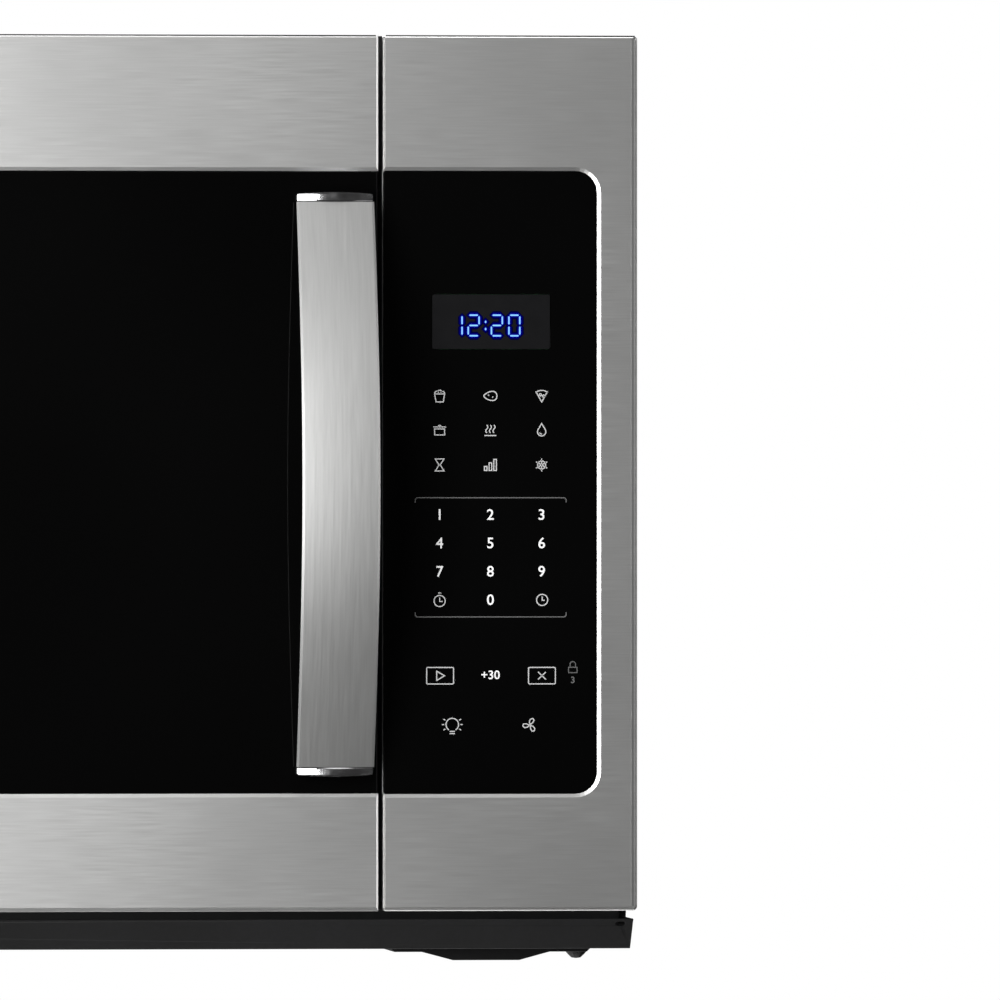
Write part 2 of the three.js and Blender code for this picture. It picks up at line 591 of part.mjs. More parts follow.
function glassTray() {
  const r = TRAY_R;
  const t = TRAY_THICK;
  const under = [[0, 0], [r - 26, 0], [r - 12, 3], [r - 2, TRAY_RIM - 2], [r, TRAY_RIM]];
  const over = [[r - 3, TRAY_RIM + 1], [r - 16, t + 3], [r - 29, t], [0, t]];
  const dish = turned([...under, ...over], 28);
  const studs = [0, 1, 2].map((i) => {
    const turn = ((i + 0.5) * 2 * Math.PI) / 3;
    const reach = COUPLER_R + 1;
    return solid(turned([[0, -4], [3.4, -4], [4.4, 1], [0, 1]], 8)
      .translate(reach * Math.cos(turn), reach * Math.sin(turn), 0));
  });
  return join(solid(dish), studs).translate([CAVITY_X, TRAY_Y, TRAY_BOTTOM]);
}

function rollerRing() {
  const z = ROLLER_Z;
  const inner = RING_R - ROLLER_WIDTH / 2 - 9;
  const hoop = solid(turned([[inner - 8, -3], [inner, -3], [inner, 3], [inner - 8, 3], [inner - 8, -3]], 20)
    .translate(CAVITY_X, TRAY_Y, z));
  const hub = solid(turned([[COUPLER_R + 6, -2.5], [COUPLER_R + 10, -2.5], [COUPLER_R + 10, 2.5],
    [COUPLER_R + 6, 2.5], [COUPLER_R + 6, -2.5]], 12).translate(CAVITY_X, TRAY_Y, z));
  const arms = [0, 1, 2].map((i) => {
    const spoke = box(COUPLER_R + 8, inner - 2, -4, 4, z - 2, z + 2);
    const axle = rod("x", RING_R - 2, 0, z, ROLLER_AXLE_R, ROLLER_WIDTH + 16, 8);
    const knob = rod("x", RING_R + ROLLER_WIDTH / 2 + 2, 0, z, ROLLER_AXLE_R + 1, 2.4, 8);
    return join(spoke, axle, knob).rotate([0, 0, i * 120]).translate([CAVITY_X, TRAY_Y, 0]);
  });
  return join(hoop, hub, arms);
}

function roller(index) {
  const half = ROLLER_WIDTH / 2;
  const bore = ROLLER_AXLE_R + RUN_FIT;
  const profile = [[bore, -half], [ROLLER_R, -half], [ROLLER_R, half], [bore, half], [bore, -half]];
  const wheel = solid(turned(profile, 14).rotateY(Math.PI / 2).translate(RING_R, 0, ROLLER_Z));
  return wheel.rotate([0, 0, index * 120]).translate([CAVITY_X, TRAY_Y, 0]);
}

add("oven_cavity", ovenCavity(), ENAMEL);
add("waveguide_cover", waveguideCover(), MICA);
add("turntable_motor", turntableMotor(), ZINC);
add("drive_coupler", driveCoupler(), WHITE_PLASTIC);
add("glass_tray", glassTray(), CLEAR_GLASS);
add("roller_ring", rollerRing(), BLACK_PLASTIC);
for (let i = 0; i < 3; i++) add("roller_" + (i + 1), roller(i), WHITE_PLASTIC);

// ---------- Microwave source and electrics, right of the cavity ----------
const BAY_LEFT = CAVITY_RIGHT + CAVITY_WALL + FIT;
const BAY_RIGHT = CABINET_INNER - FIT;
const BAY_MIDDLE = (BAY_LEFT + BAY_RIGHT) / 2;
const TRAY_FLOOR = CAVITY_FLOOR - 38; // electrics tray, top face
const GUIDE_WIDTH = 34;
const YOKE_HALF = 46; // half the magnetron's height
const MAGNETRON = {
  y: SOURCE_Y,
  z: SOURCE_Z,
  half: 44,
  low: SOURCE_Z - YOKE_HALF,
  high: SOURCE_Z + YOKE_HALF,
  depth: 84,
};
const ANTENNA_R = 9;
const FAN = { x: BAY_MIDDLE, z: SOURCE_Z, y: -46 };
const FAN_SHROUD = 56; // half width of the fan's plate
const CORE = { x0: BAY_MIDDLE - 45, x1: BAY_MIDDLE + 45, y0: -128, y1: -52, height: 74, window: 14, leg: 16 };
const CAN = { x0: BAY_MIDDLE - 30, x1: BAY_MIDDLE + 30, y0: -196, y1: -164, height: 78 };

function electricsTray() {
  const y0 = CAVITY_MOUTH_Y;
  const y1 = -SHEET - FIT;
  const low = TRAY_FLOOR - SHEET;
  const floor = box(BAY_LEFT, BAY_RIGHT, y0, y1, low, TRAY_FLOOR);
  const wall = box(BAY_RIGHT - SHEET, BAY_RIGHT, y0, y1, low, TRAY_FLOOR + 14);
  const inner = box(BAY_LEFT, BAY_LEFT + SHEET, y0 + CAVITY_WALL + FIT, y1, low, CAVITY_FLOOR + 30);
  const vents = grid(4, 2, (c, r) => {
    const x = BAY_LEFT + 28 + c * 24;
    const y = PLATE_Y + 22 + r * 22;
    return box(x, x + 16, y, y + 6, TRAY_FLOOR - 5, TRAY_FLOOR + 5);
  });
  return cut(join(floor, wall, inner), vents);
}

function waveguide() {
  const x0 = BAY_LEFT;
  const x1 = x0 + GUIDE_WIDTH;
  const m = MAGNETRON;
  const y0 = PORT.y0 - 6;
  const y1 = PORT.y1 + 6;
  const w = SHEET;
  const hollow = box(x0 - 1, x1 - w, y0 + w, y1 - w, m.low + w, m.high - w);
  const duct = cut(box(x0, x1, y0, y1, m.low, m.high), hollow);
  const flange = cut(box(x0, x0 + w, y0 - 10, y1 + 10, m.low - 10, m.high + 10),
    box(x0 - 1, x0 + w + 1, y0 + w, y1 - w, m.low + w, m.high - w));
  return cut(join(duct, flange), rod("x", x1, m.y, m.z, ANTENNA_R + 2, 10, 18));
}

function magnetron() {
  const m = MAGNETRON;
  const x0 = BAY_LEFT + GUIDE_WIDTH + FIT;
  const x1 = x0 + m.depth;
  const yoke = cut(box(x0, x1, m.y - m.half, m.y + m.half, m.low, m.high),
    box(x0 + 3, x1 - 22, m.y - m.half - 1, m.y + m.half + 1, m.low + 3, m.high - 3));
  const anode = rod("x", (x0 + x1) / 2, m.y, m.z, 20, m.depth - 8, 14);
  const fins = Array.from({ length: 4 }, (_, i) => {
    const x = x0 + 14 + i * 12;
    return box(x, x + 1, m.y - m.half + 2, m.y + m.half - 2, m.low + 2, m.high - 2);
  });
  const antenna = rod("x", x0 - 11, m.y, m.z, ANTENNA_R, 24, 12);
  const terminals = box(x1 - 18, x1 - 4, m.y - 16, m.y + 16, m.low - 9, m.low + 1);
  return join(yoke, anode, fins, antenna, terminals);
}

function transformerCore() {
  const c = CORE;
  const z0 = TRAY_FLOOR + FIT;
  const z1 = z0 + c.height;
  const middle = (c.x0 + c.x1) / 2;
  const windows = [-1, 1].map((s) => {
    const x = middle + s * (c.leg + c.window / 2);
    return box(x - c.window / 2, x + c.window / 2, c.y0 - 1, c.y1 + 1, z0 + 14, z1 - 14);
  });
  const feet = box(c.x0 - 12, c.x1 + 12, c.y0 + 4, c.y1 - 4, z0, z0 + 2);
  const block = box(c.x0, c.x1, c.y0, c.y1, z0, z1);
  const welds = [c.y0 + 22, c.y1 - 22].map((y) => box(c.x0 - 1, c.x1 + 1, y - 2, y + 2, z0 + 34, z0 + 40));
  return cut(join(block, feet, welds), windows);
}

// One flat coil round the middle leg.
function transformerCoil(low, high, swell) {
  const c = CORE;
  const middle = (c.x0 + c.x1) / 2;
  const reach = c.window - 1.2;
  const outer = roundRect(middle - c.leg - reach, middle + c.leg + reach, c.y0 - swell, c.y1 + swell, 8);
  const inner = roundRect(middle - c.leg - 0.6, middle + c.leg + 0.6, c.y0 - 0.6, c.y1 + 0.6, 1);
  return cut(plateXY(outer, low, high, 1), plateXY(inner, low - 1, high + 1, 1));
}

// Primary below and secondary above, with the insulation between them.
function transformerWindings(low) {
  const primary = transformerCoil(low, low + 20, 12);
  const insulation = transformerCoil(low + 20, low + 23, 6);
  const secondary = transformerCoil(low + 23, low + 43, 15);
  return join(primary, insulation, secondary);
}

function capacitor() {
  const c = CAN;
  const z0 = TRAY_FLOOR + FIT;
  const can = plateXY(roundRect(c.x0, c.x1, c.y0, c.y1, 15.5), z0, z0 + c.height, 2);
  const tabs = [-1, 1].map((s) => {
    const x = (c.x0 + c.x1) / 2 + s * 12;
    const y = (c.y0 + c.y1) / 2;
    return box(x - 3, x + 3, y - 0.5, y + 0.5, z0 + c.height - 1, z0 + c.height + 10);
  });
  const around = roundRect(c.x0 - 1.5, c.x1 + 1.5, c.y0 - 1.5, c.y1 + 1.5, 16.5);
  const strap = plateXY(around, z0 + 30, z0 + 42, 2);
  const ear = box(c.x1 + 0.5, c.x1 + 2, c.y0 + 12, c.y1 - 12, z0, z0 + 42);
  return join(can, tabs, strap, ear);
}

function fanShroud() {
  const y0 = FAN.y - 8;
  const y1 = FAN.y + 10;
  const s = FAN_SHROUD;
  const plate = box(FAN.x - s, FAN.x + s, y1 - 2, y1, FAN.z - s, FAN.z + s);
  const ring = rod("y", FAN.x, (y0 + y1) / 2, FAN.z, FAN_R + 4, y1 - y0, 18);
  const throat = rod("y", FAN.x, FAN.y, FAN.z, FAN_R + 2, 60, 18);
  const bars = [0, 90].map((turn) => {
    const bar = box(-FAN_R - 3, FAN_R + 3, y1, y1 + 2, -4, 4);
    return bar.rotate([0, turn, 0]).translate([FAN.x, 0, FAN.z]);
  });
  const legs = grid(2, 2, (c, r) => {
    const x = FAN.x + (c ? 1 : -1) * (s - 6);
    const z = FAN.z + (r ? 1 : -1) * (s - 6);
    return box(x - 4, x + 4, y1 - 1, -SHEET - FIT, z - 4, z + 4);
  });
  const seat = rod("y", FAN.x, y1 + 1, FAN.z, 8, 8, 12);
  const bore = rod("y", FAN.x, y1 + 1, FAN.z, 3.2, 12, 12);
  return cut(join(cut(join(plate, ring), throat), bars, legs), bore, seat);
}

function fanMotor() {
  const front = FAN.y + 12 + FIT;
  const coil = box(FAN.x - 14, FAN.x + 14, front, front + 20, FAN.z - 26, FAN.z + 14);
  const core = box(FAN.x - 22, FAN.x + 22, front + 5, front + 15, FAN.z - 20, FAN.z + 20);
  const bore = rod("y", FAN.x, front, FAN.z, 2.5 + RUN_FIT, 26, 16);
  return cut(join(coil, core), bore);
}

function fanBlade() {
  const shaft = rod("y", FAN.x, FAN.y + 10, FAN.z, 2.5, 24, 12);
  const hub = rod("y", FAN.x, FAN.y - 1, FAN.z, 10, 10, 16);
  const blades = Array.from({ length: FAN_BLADES }, (_, i) => {
    const leaf = new THREE.Shape();
    leaf.moveTo(6, -5);
    leaf.quadraticCurveTo(26, -16, FAN_R - 2, -15);
    leaf.quadraticCurveTo(FAN_R, 2, FAN_R - 6, 10);
    leaf.quadraticCurveTo(20, 10, 6, 5);
    const blade = plateXZ(leaf, -0.8, 0.8, 2).rotate([28, 0, 0]);
    return blade.rotate([0, (i * 360) / FAN_BLADES, 0]).translate([FAN.x, FAN.y - 1, FAN.z]);
  });
  return join(shaft, hub, blades);
}

function filterBoard() {
  const y1 = -SHEET - FIT;
  const x = BAY_MIDDLE;
  const z = CAVITY_ROOF + 36;
  const board = box(x - 52, x + 52, y1 - 7.6, y1 - 6, z - 34, z + 34);
  const posts = grid(2, 2, (c, r) => rod("y", x + (c ? 44 : -44), y1 - 3.4, z + (r ? 26 : -26), 2.6, 6.8, 6));
  const chokeCoil = rod("y", x - 20, y1 - 17, z + 4, 13, 20, 12);
  const blocks = [
    box(x + 6, x + 30, y1 - 22, y1 - 7, z - 12, z + 2),
    box(x + 6, x + 26, y1 - 20, y1 - 7, z + 10, z + 22),
    box(x - 42, x - 34, y1 - 16, y1 - 7, z - 24, z - 12),
  ];
  return join(board, posts, chokeCoil, blocks);
}

function lampHolder() {
  const x0 = BAY_LEFT;
  const hood = cut(box(x0, x0 + 26, LAMP.y - 20, LAMP.y + 20, LAMP.z - 20, LAMP.z + 20),
    box(x0 - 1, x0 + 24.5, LAMP.y - 18.5, LAMP.y + 18.5, LAMP.z - 18.5, LAMP.z + 18.5));
  const bore = rod("x", x0 + 30, LAMP.y, LAMP.z, 6.4, 20, 12);
  const socket = cut(rod("x", x0 + 33, LAMP.y, LAMP.z, 10, 22, 14), bore);
  return join(cut(hood, rod("x", x0 + 26, LAMP.y, LAMP.z, 9, 8, 12)), socket);
}

function lampBulb() {
  const x0 = BAY_LEFT;
  const profile = [[0, 5], [4.4, 6], [7.4, 9.5], [8, 13], [6.8, 17.5], [6, 20], [6, 32], [0, 32]];
  return solid(turned(profile, 12).rotateY(Math.PI / 2).translate(x0, LAMP.y, LAMP.z));
}

add("electrics_tray", electricsTray(), ZINC);
add("waveguide", waveguide(), ZINC);
add("magnetron", magnetron(), ALUMINIUM);
add("transformer_core", transformerCore(), ZINC);
const COIL_BASE = TRAY_FLOOR + FIT + 15;
add("transformer_windings", transformerWindings(COIL_BASE), COPPER);
add("hv_capacitor", capacitor(), ALUMINIUM);
add("fan_shroud", fanShroud(), BLACK_PLASTIC);
add("fan_motor", fanMotor(), ZINC);
add("fan_blade", fanBlade(), BLACK_PLASTIC);
add("line_filter_board", filterBoard(), BOARD_GREEN);
add("oven_lamp_holder", lampHolder(), BLACK_PLASTIC);
add("oven_lamp_bulb", lampBulb(), CLEAR_GLASS);

// ---------- Ventilation blower over the cavity ----------
const SCROLL_R = 40;
const SCROLL_WALL = 1.2;
const BLOWER_MOTOR = { half: 44, radius: 29 };
const BLOWER_INLET_R = 25;
const BLOWER_SHAFT_R = 4;
const SCROLL_INNER = BLOWER_MOTOR.half + 1.5;
const SCROLL_OUTER = SCROLL_INNER + BLOWER_LENGTH + 8;
const OUTLET_FRONT = BLOWER_Y - 78;

// The scroll's side outline: a round casing that opens forward along its top.
function scrollOutline(radius, reach) {
  const shape = new THREE.Shape();
  shape.moveTo(BLOWER_Y, BLOWER_Z + radius);
  shape.lineTo(reach, BLOWER_Z + radius);
  shape.lineTo(reach, BLOWER_Z + radius * 0.1);
  shape.lineTo(BLOWER_Y - radius, BLOWER_Z + radius * 0.1);
  shape.absarc(BLOWER_Y, BLOWER_Z, radius, Math.PI, 2.5 * Math.PI);
  return shape;
}

function scroll(side) {
  const w = SCROLL_WALL;
  const x0 = side > 0 ? SCROLL_INNER : -SCROLL_OUTER;
  const x1 = side > 0 ? SCROLL_OUTER : -SCROLL_INNER;
  const shell = plateYZ(scrollOutline(SCROLL_R, OUTLET_FRONT), x0, x1, 5);
  const room = plateYZ(scrollOutline(SCROLL_R - w, OUTLET_FRONT - 5), x0 + w, x1 - w, 5);
  const inlets = rod("x", (x0 + x1) / 2, BLOWER_Y, BLOWER_Z, BLOWER_INLET_R, x1 - x0 + 4, 18);
  return cut(shell, room, inlets);
}

function blowerHousing() {
  const roof = CAVITY_ROOF + CAVITY_WALL + FIT;
  const base = box(-SCROLL_OUTER - 10, SCROLL_OUTER + 10, BLOWER_Y - 40, BLOWER_Y + 44, roof, roof + 1.4);
  const saddles = [-1, 1].map((s) =>
    box(s * 26 - 3, s * 26 + 3, BLOWER_Y - 22, BLOWER_Y + 22, roof, BLOWER_Z - 16));
  const cheeks = [-1, 1].map((s) => {
    const x = s * (SCROLL_INNER + SCROLL_WALL / 2);
    return box(x - SCROLL_WALL / 2, x + SCROLL_WALL / 2, BLOWER_Y - 38, BLOWER_Y + 38, roof, BLOWER_Z - 30);
  });
  const motorRoom = rod("x", 0, BLOWER_Y, BLOWER_Z, BLOWER_MOTOR.radius + FIT, 2 * SCROLL_INNER - 2, 18);
  const centre = (SCROLL_INNER + SCROLL_OUTER) / 2;
  const half = (SCROLL_OUTER - SCROLL_INNER) / 2 - 1;
  const seatTop = BLOWER_Z - SCROLL_R + 2.4;
  const seats = [-1, 1].map((s) =>
    box(s * centre - half, s * centre + half, BLOWER_Y - 18, BLOWER_Y + 18, roof + 1, seatTop));
  const room = [-1, 1].map((s) =>
    rod("x", s * centre, BLOWER_Y, BLOWER_Z, SCROLL_R - SCROLL_WALL, BLOWER_LENGTH + 5, 21));
  return join(cut(join(base, saddles, seats, cheeks), motorRoom, room), scroll(-1), scroll(1));
}

function blowerMotor() {
  const m = BLOWER_MOTOR;
  const can = rod("x", 0, BLOWER_Y, BLOWER_Z, m.radius, 64, 18);
  const bosses = rod("x", 0, BLOWER_Y, BLOWER_Z, 12, 2 * m.half - 4, 16);
  return cut(join(can, bosses), rod("x", 0, BLOWER_Y, BLOWER_Z, BLOWER_SHAFT_R + RUN_FIT, 120, 12));
}

// The motor's shaft runs through both wheels.
function blowerShaft() {
  return rod("x", 0, BLOWER_Y, BLOWER_Z, BLOWER_SHAFT_R, 2 * SCROLL_INNER + 52, 12);
}

function blowerWheel(side) {
  const start = SCROLL_INNER + 4;
  const end = start + BLOWER_LENGTH;
  const r = BLOWER_R;
  const centre = (x, radius, length, sides) => rod("x", x, 0, 0, radius, length, sides);
  const disc = centre(start + 1, r, 2, 16);
  const hub = centre(start + 10, 9, 20, 12);
  const rim = cut(centre(end - 1, r, 2, 16), centre(end - 1, r - 6, 6, 16));
  const blades = Array.from({ length: BLOWER_BLADES }, (_, i) => {
    const blade = box(start + 0.5, end - 0.5, -0.6, 0.6, r - 6, r - 0.6);
    return blade.rotate([24, 0, 0]).translate([0, 12.5, 3]).rotate([(i * 360) / BLOWER_BLADES, 0, 0]);
  });
  const bore = centre(start + 10, BLOWER_SHAFT_R + FIT, 30, 12);
  const whole = join(disc, hub, rim, blades);
  const wheel = side > 0 ? whole : cut(whole, bore);
  const placed = side > 0 ? wheel : wheel.rotate([0, 0, 180]);
  return placed.translate([0, BLOWER_Y, BLOWER_Z]);
}

add("blower_housing", blowerHousing(), ZINC);
add("blower_motor", blowerMotor(), ZINC);
add("blower_wheel_left", blowerWheel(-1), BLACK_PLASTIC);
add("blower_wheel_right", join(blowerWheel(1), blowerShaft()), BLACK_PLASTIC);

// ---------- Door ----------
const SKIN = 1; // stainless skin
const SKIN_RETURN = 30; // how far the skin's edges turn back
const FRAME_FRONT = GLASS_Y + GLASS_THICK + FIT;
const FRAME_DEPTH = 12;
const CHOKE_REACH = 46; // window to the outer wall of the microwave choke's groove
const HINGE_LEAF = 2.4;
const HINGE_LEAF_R = 8;
const HINGE_UPPER_Z = 204;
const HINGE_LOWER_Z = -187;
const HINGE_NOTCH = 13; // notch height left of the pin for the leaf
const BAR_X = LATCH.x;

// The door seen from above: its left back corner is round about the hinge pin.
function doorPlan(inset, chamfer) {
  const r = HINGE_INSET - inset;
  const front = FRONT_Y + inset;
  const shape = new THREE.Shape();
  shape.moveTo(HINGE_X - r, front + chamfer * CHAMFER_DEPTH);
  if (chamfer) shape.lineTo(HINGE_X - r + CHAMFER.side, front);
  if (chamfer) shape.lineTo(DOOR_RIGHT - inset - CHAMFER.side, front);
  shape.lineTo(DOOR_RIGHT - inset, front + chamfer * CHAMFER_DEPTH);
  shape.lineTo(DOOR_RIGHT - inset, DOOR_BACK_Y - inset);
  shape.lineTo(HINGE_X, DOOR_BACK_Y - inset);
  shape.absarc(HINGE_X, HINGE_Y, r, Math.PI / 2, Math.PI);
  return shape;
}

function leafNotch(z) {
  return box(-HALF - 5, HINGE_X + HINGE_LEAF_R + 7, HINGE_Y - HINGE_LEAF_R - 3, DOOR_BACK_Y + 8,
    z - HINGE_NOTCH / 2, z + HINGE_NOTCH / 2);
}

// A wedge that cuts a chamfer along an edge at height z of a front face. The metal is
// below the edge where way is 1, and above it where way is -1.
function edgeWedge(x0, x1, z, way, width) {
  const far = width + width / CHAMFER_DEPTH;
  const back = FRONT_Y + CHAMFER_DEPTH;
  const wedge = outline([[FRONT_Y - 1, z - way * far], [back, z], [back, z + way], [FRONT_Y - 1, z + way]]);
  return plateYZ(wedge, x0, x1);
}

// A stainless band wrapped round the door's front, left, right and outer edges.
function doorBand(low, high, closedTop) {
  const shell = plateXY(doorPlan(0, 1), low, high, 4);
  const roomLow = closedTop ? low - 1 : low + SKIN;
  const roomHigh = closedTop ? high - SKIN : high + 1;
  const room = plateXY(doorPlan(SKIN, 0), roomLow, roomHigh, 4);
  const behind = box(-HALF + 20, HALF, FRONT_Y + SKIN_RETURN, DOOR_BACK_Y + 2, low - 1, high + 1);
  const [left, right] = [-HALF - 1, HALF];
  const chamfers = closedTop
    ? [edgeWedge(left, right, high, 1, CHAMFER.top), edgeWedge(left, right, low, -1, CHAMFER.glass)]
    : [edgeWedge(left, right, low, -1, CHAMFER.bottom), edgeWedge(left, right, high, 1, CHAMFER.glass)];
  const notch = leafNotch(closedTop ? HINGE_UPPER_Z : HINGE_LOWER_Z);
  return cut(shell, room, behind, chamfers, notch);
}

function doorGlass() {
  const back = GLASS_Y + GLASS_THICK;
  const plate = box(-HALF + 1, DOOR_RIGHT - 0.4, GLASS_Y, back, GLASS_BOTTOM + FIT, GLASS_TOP - FIT);
  const holes = [HANDLE_TOP - 5, HANDLE_BOTTOM + 5].map((z) => rod("y", HANDLE_X, GLASS_Y, z, 3.4, 20, 16));
  return cut(plate, holes);
}

// An arm of the frame with the bore that turns on the hinge pin.
function hingeBar(z, right) {
  const eye = rod("z", HINGE_X, HINGE_Y, z + 4, 8, 8, 20);
  const arm = box(HINGE_X, right, HINGE_Y - 8, HINGE_Y + 8, z, z + 8);
  return cut(join(eye, arm), rod("z", HINGE_X, HINGE_Y, z, HINGE_PIN_R + RUN_FIT, 40, 16));
}

function doorFrame() {
  const y0 = FRAME_FRONT;
  const top = FRONT_TOP - SKIN - FIT;
  const low = FRONT_BOTTOM + SKIN + FIT;
  const left = HINGE_X + HINGE_LEAF_R + 8;
  const right = DOOR_RIGHT - 3;
  const w = WINDOW;
  const body = box(left, right, y0, DOOR_BACK_Y - 6, low, top);
  const opening = plateXZ(roundRect(w.left, w.right, w.bottom, w.top, 8), y0 - 1, DOOR_BACK_Y, 1);
  const sill = box(w.left - 4, w.right + 4, y0, DOOR_BACK_Y + 1, w.bottom - 4, w.top + 4);
  const c = CHOKE_REACH;
  const choke = box(w.left - c, w.right + c, y0 + FRAME_DEPTH, DOOR_BACK_Y, w.bottom - c, w.top + c);
  const bars = [HINGE_UPPER_Z - 16, HINGE_LOWER_Z + 8].map((z) => hingeBar(z, left + 2));
  const channel = box(BAR_X - 7, BAR_X + 7, DOOR_BACK_Y - 16, DOOR_BACK_Y,
    LATCH.lower - 22, LATCH.upper + 26);
  const hollows = [
    box(left + 6, right - 6, y0 - 1, DOOR_BACK_Y - 9, w.top + 14, top - 8),
    box(left + 6, right - 6, y0 - 1, DOOR_BACK_Y - 9, low + 8, w.bottom - 14),
    box(left + 6, w.left - 8, y0 - 1, y0 + FRAME_DEPTH - 2, w.bottom - 4, w.top + 2),
    box(w.right + 8, right - 6, y0 - 1, y0 + FRAME_DEPTH - 2, w.bottom - 4, w.top + 2),
  ];
  const bores = [HANDLE_TOP - 5, HANDLE_BOTTOM + 5].map((z) => rod("y", HANDLE_X, y0, z, 3.4, 60, 16));
  return cut(join(cut(body, opening, cut(choke, sill)), bars), channel, hollows, bores);
}

function chokeCover() {
  const y1 = DOOR_BACK_Y;
  const w = WINDOW;
  const left = HINGE_X + HINGE_LEAF_R + 10;
  const around = (side, end, radius) =>
    roundRect(w.left - side, w.right + side, w.bottom - end, w.top + end, radius);
  const frame = plateXZ(roundRect(left, DOOR_RIGHT - 2, FRONT_BOTTOM + 2, FRONT_TOP - 2, 3), y1 - 5.7, y1, 1);
  const hole = plateXZ(around(3, 3, 6), y1 - 7, y1 + 1, 1);
  const groove = cut(plateXZ(around(38, 24, 10), y1 - 1.2, y1 + 1, 1),
    plateXZ(around(12, 12, 8), y1 - 2, y1 + 2, 1));
  const slots = [LATCH.upper, LATCH.lower].map((z) =>
    box(BAR_X - 6, BAR_X + 6, y1 - 9, y1 + 2, z - 10, z + 12));
  return cut(frame, hole, groove, slots);
}

function doorScreen() {
  const w = WINDOW;
  const y = FRAME_FRONT + 8;
  return plateXZ(roundRect(w.left + FIT, w.right - FIT, w.bottom + FIT, w.top - FIT, 8), y, y + 1, 1);
}

function innerWindow() {
  const w = WINDOW;
  return plateXZ(roundRect(w.left - 2.6, w.right + 2.6, w.bottom - 2.6, w.top + 2.6, 5.6),
    DOOR_BACK_Y - 5, DOOR_BACK_Y - 2, 1);
}

function latchBar() {
  const y0 = DOOR_BACK_Y - 14;
  const bar = box(BAR_X - 3, BAR_X + 3, y0, y0 + 6, LATCH.lower - 10, LATCH.upper + 12);
  const hooks = [LATCH.upper, LATCH.lower].map((z) => {
    const tip = DOOR_BACK_Y + LATCH.reach;
    const side = outline([[y0 + 2, z - 4.5], [tip - 3, z - 4.5], [tip, z - 1], [tip - 2, z + 2],
      [tip - 5, z + 1], [tip - 8, z + 1], [tip - 9, z + 4.5], [y0 + 2, z + 4.5]]);
    return plateYZ(side, BAR_X - LATCH.width / 2, BAR_X + LATCH.width / 2);
  });
  return join(bar, hooks);
}

function latchSpring() {
  const low = LATCH.lower - 22 + FIT;
  const high = LATCH.lower - 10 - FIT;
  const turns = 5;
  class Helix extends THREE.Curve {
    getPoint(t, target = new THREE.Vector3()) {
      const turn = t * turns * 2 * Math.PI;
      return target.set(2.2 * Math.cos(turn), 2.2 * Math.sin(turn), low + 0.5 + t * (high - low - 1));
    }
  }
  const section = circle(0, 0, 0.45);
  const settings = { steps: turns * 5, curveSegments: 2, extrudePath: new Helix() };
  const coil = new THREE.ExtrudeGeometry(section, settings);
  return solid(coil.translate(BAR_X, DOOR_BACK_Y - 11, 0));
}

function hingeBracket(z, up) {
  const foot = box(HINGE_X - 7, HINGE_X + 9, PLATE_Y - FIT - 1.4, PLATE_Y - FIT, z - 6, z + 6);
  const leaf = join(rod("z", HINGE_X, HINGE_Y, z, HINGE_LEAF_R - 1, HINGE_LEAF, 16),
    box(HINGE_X - 6, HINGE_X + 6, HINGE_Y, PLATE_Y - FIT - 0.5, z - HINGE_LEAF / 2, z + HINGE_LEAF / 2));
  const far = up ? z + 20 : z - 17;
  const pin = rod("z", HINGE_X, HINGE_Y, (z + far) / 2, HINGE_PIN_R, Math.abs(far - z), 16);
  return join(foot, leaf, pin);
}

// ---------- Handle ----------
// The strap's rise over its ends, from 0 at the ends to 1 in the middle.
function handleBow(share) {
  return Math.sin(Math.PI * share);
}

function handleOutline(offset) {
  const steps = 26;
  return Array.from({ length: steps + 1 }, (_, i) => {
    const share = i / steps;
    const z = HANDLE_BOTTOM + share * (HANDLE_TOP - HANDLE_BOTTOM);
    return [FRONT_Y - HANDLE_END_PROUD - HANDLE_BOW * handleBow(share) + offset, z];
  });
}

function handleStrap() {
  const side = outline([...handleOutline(0), ...handleOutline(HANDLE_STRAP).reverse()]);
  return plateYZ(side, HANDLE_X - HANDLE_WIDTH / 2, HANDLE_X + HANDLE_WIDTH / 2);
}

// A polished cap with its post down to the glass and the screw that holds it.
function handleCap(end) {
  const up = end > 0;
  const edge = up ? HANDLE_TOP + FIT : HANDLE_BOTTOM - FIT;
  const low = up ? edge : edge - HANDLE_CAP;
  const high = low + HANDLE_CAP;
  const half = HANDLE_WIDTH / 2;
  const front = FRONT_Y - HANDLE_END_PROUD - 1;
  const back = GLASS_Y - FIT;
  const shape = roundRect(HANDLE_X - half, HANDLE_X + half, front, back, [6, 6, 1, 1]);
  const cap = plateXY(shape, low, high, 1, 0.8);
  const postFront = FRONT_Y - HANDLE_END_PROUD + HANDLE_STRAP + 1;
  const postLow = up ? HANDLE_TOP - 10 : low + 1;
  const postHigh = up ? high - 1 : HANDLE_BOTTOM + 10;
  const post = box(HANDLE_X - half + 3, HANDLE_X + half - 3, postFront, back, postLow, postHigh);
  const z = up ? HANDLE_TOP - 5 : HANDLE_BOTTOM + 5;
  const screw = rod("y", HANDLE_X, (back + FRAME_FRONT + 10) / 2 - 1, z, 2.6, FRAME_FRONT + 12 - back, 14);
  return join(cap, post, screw);
}

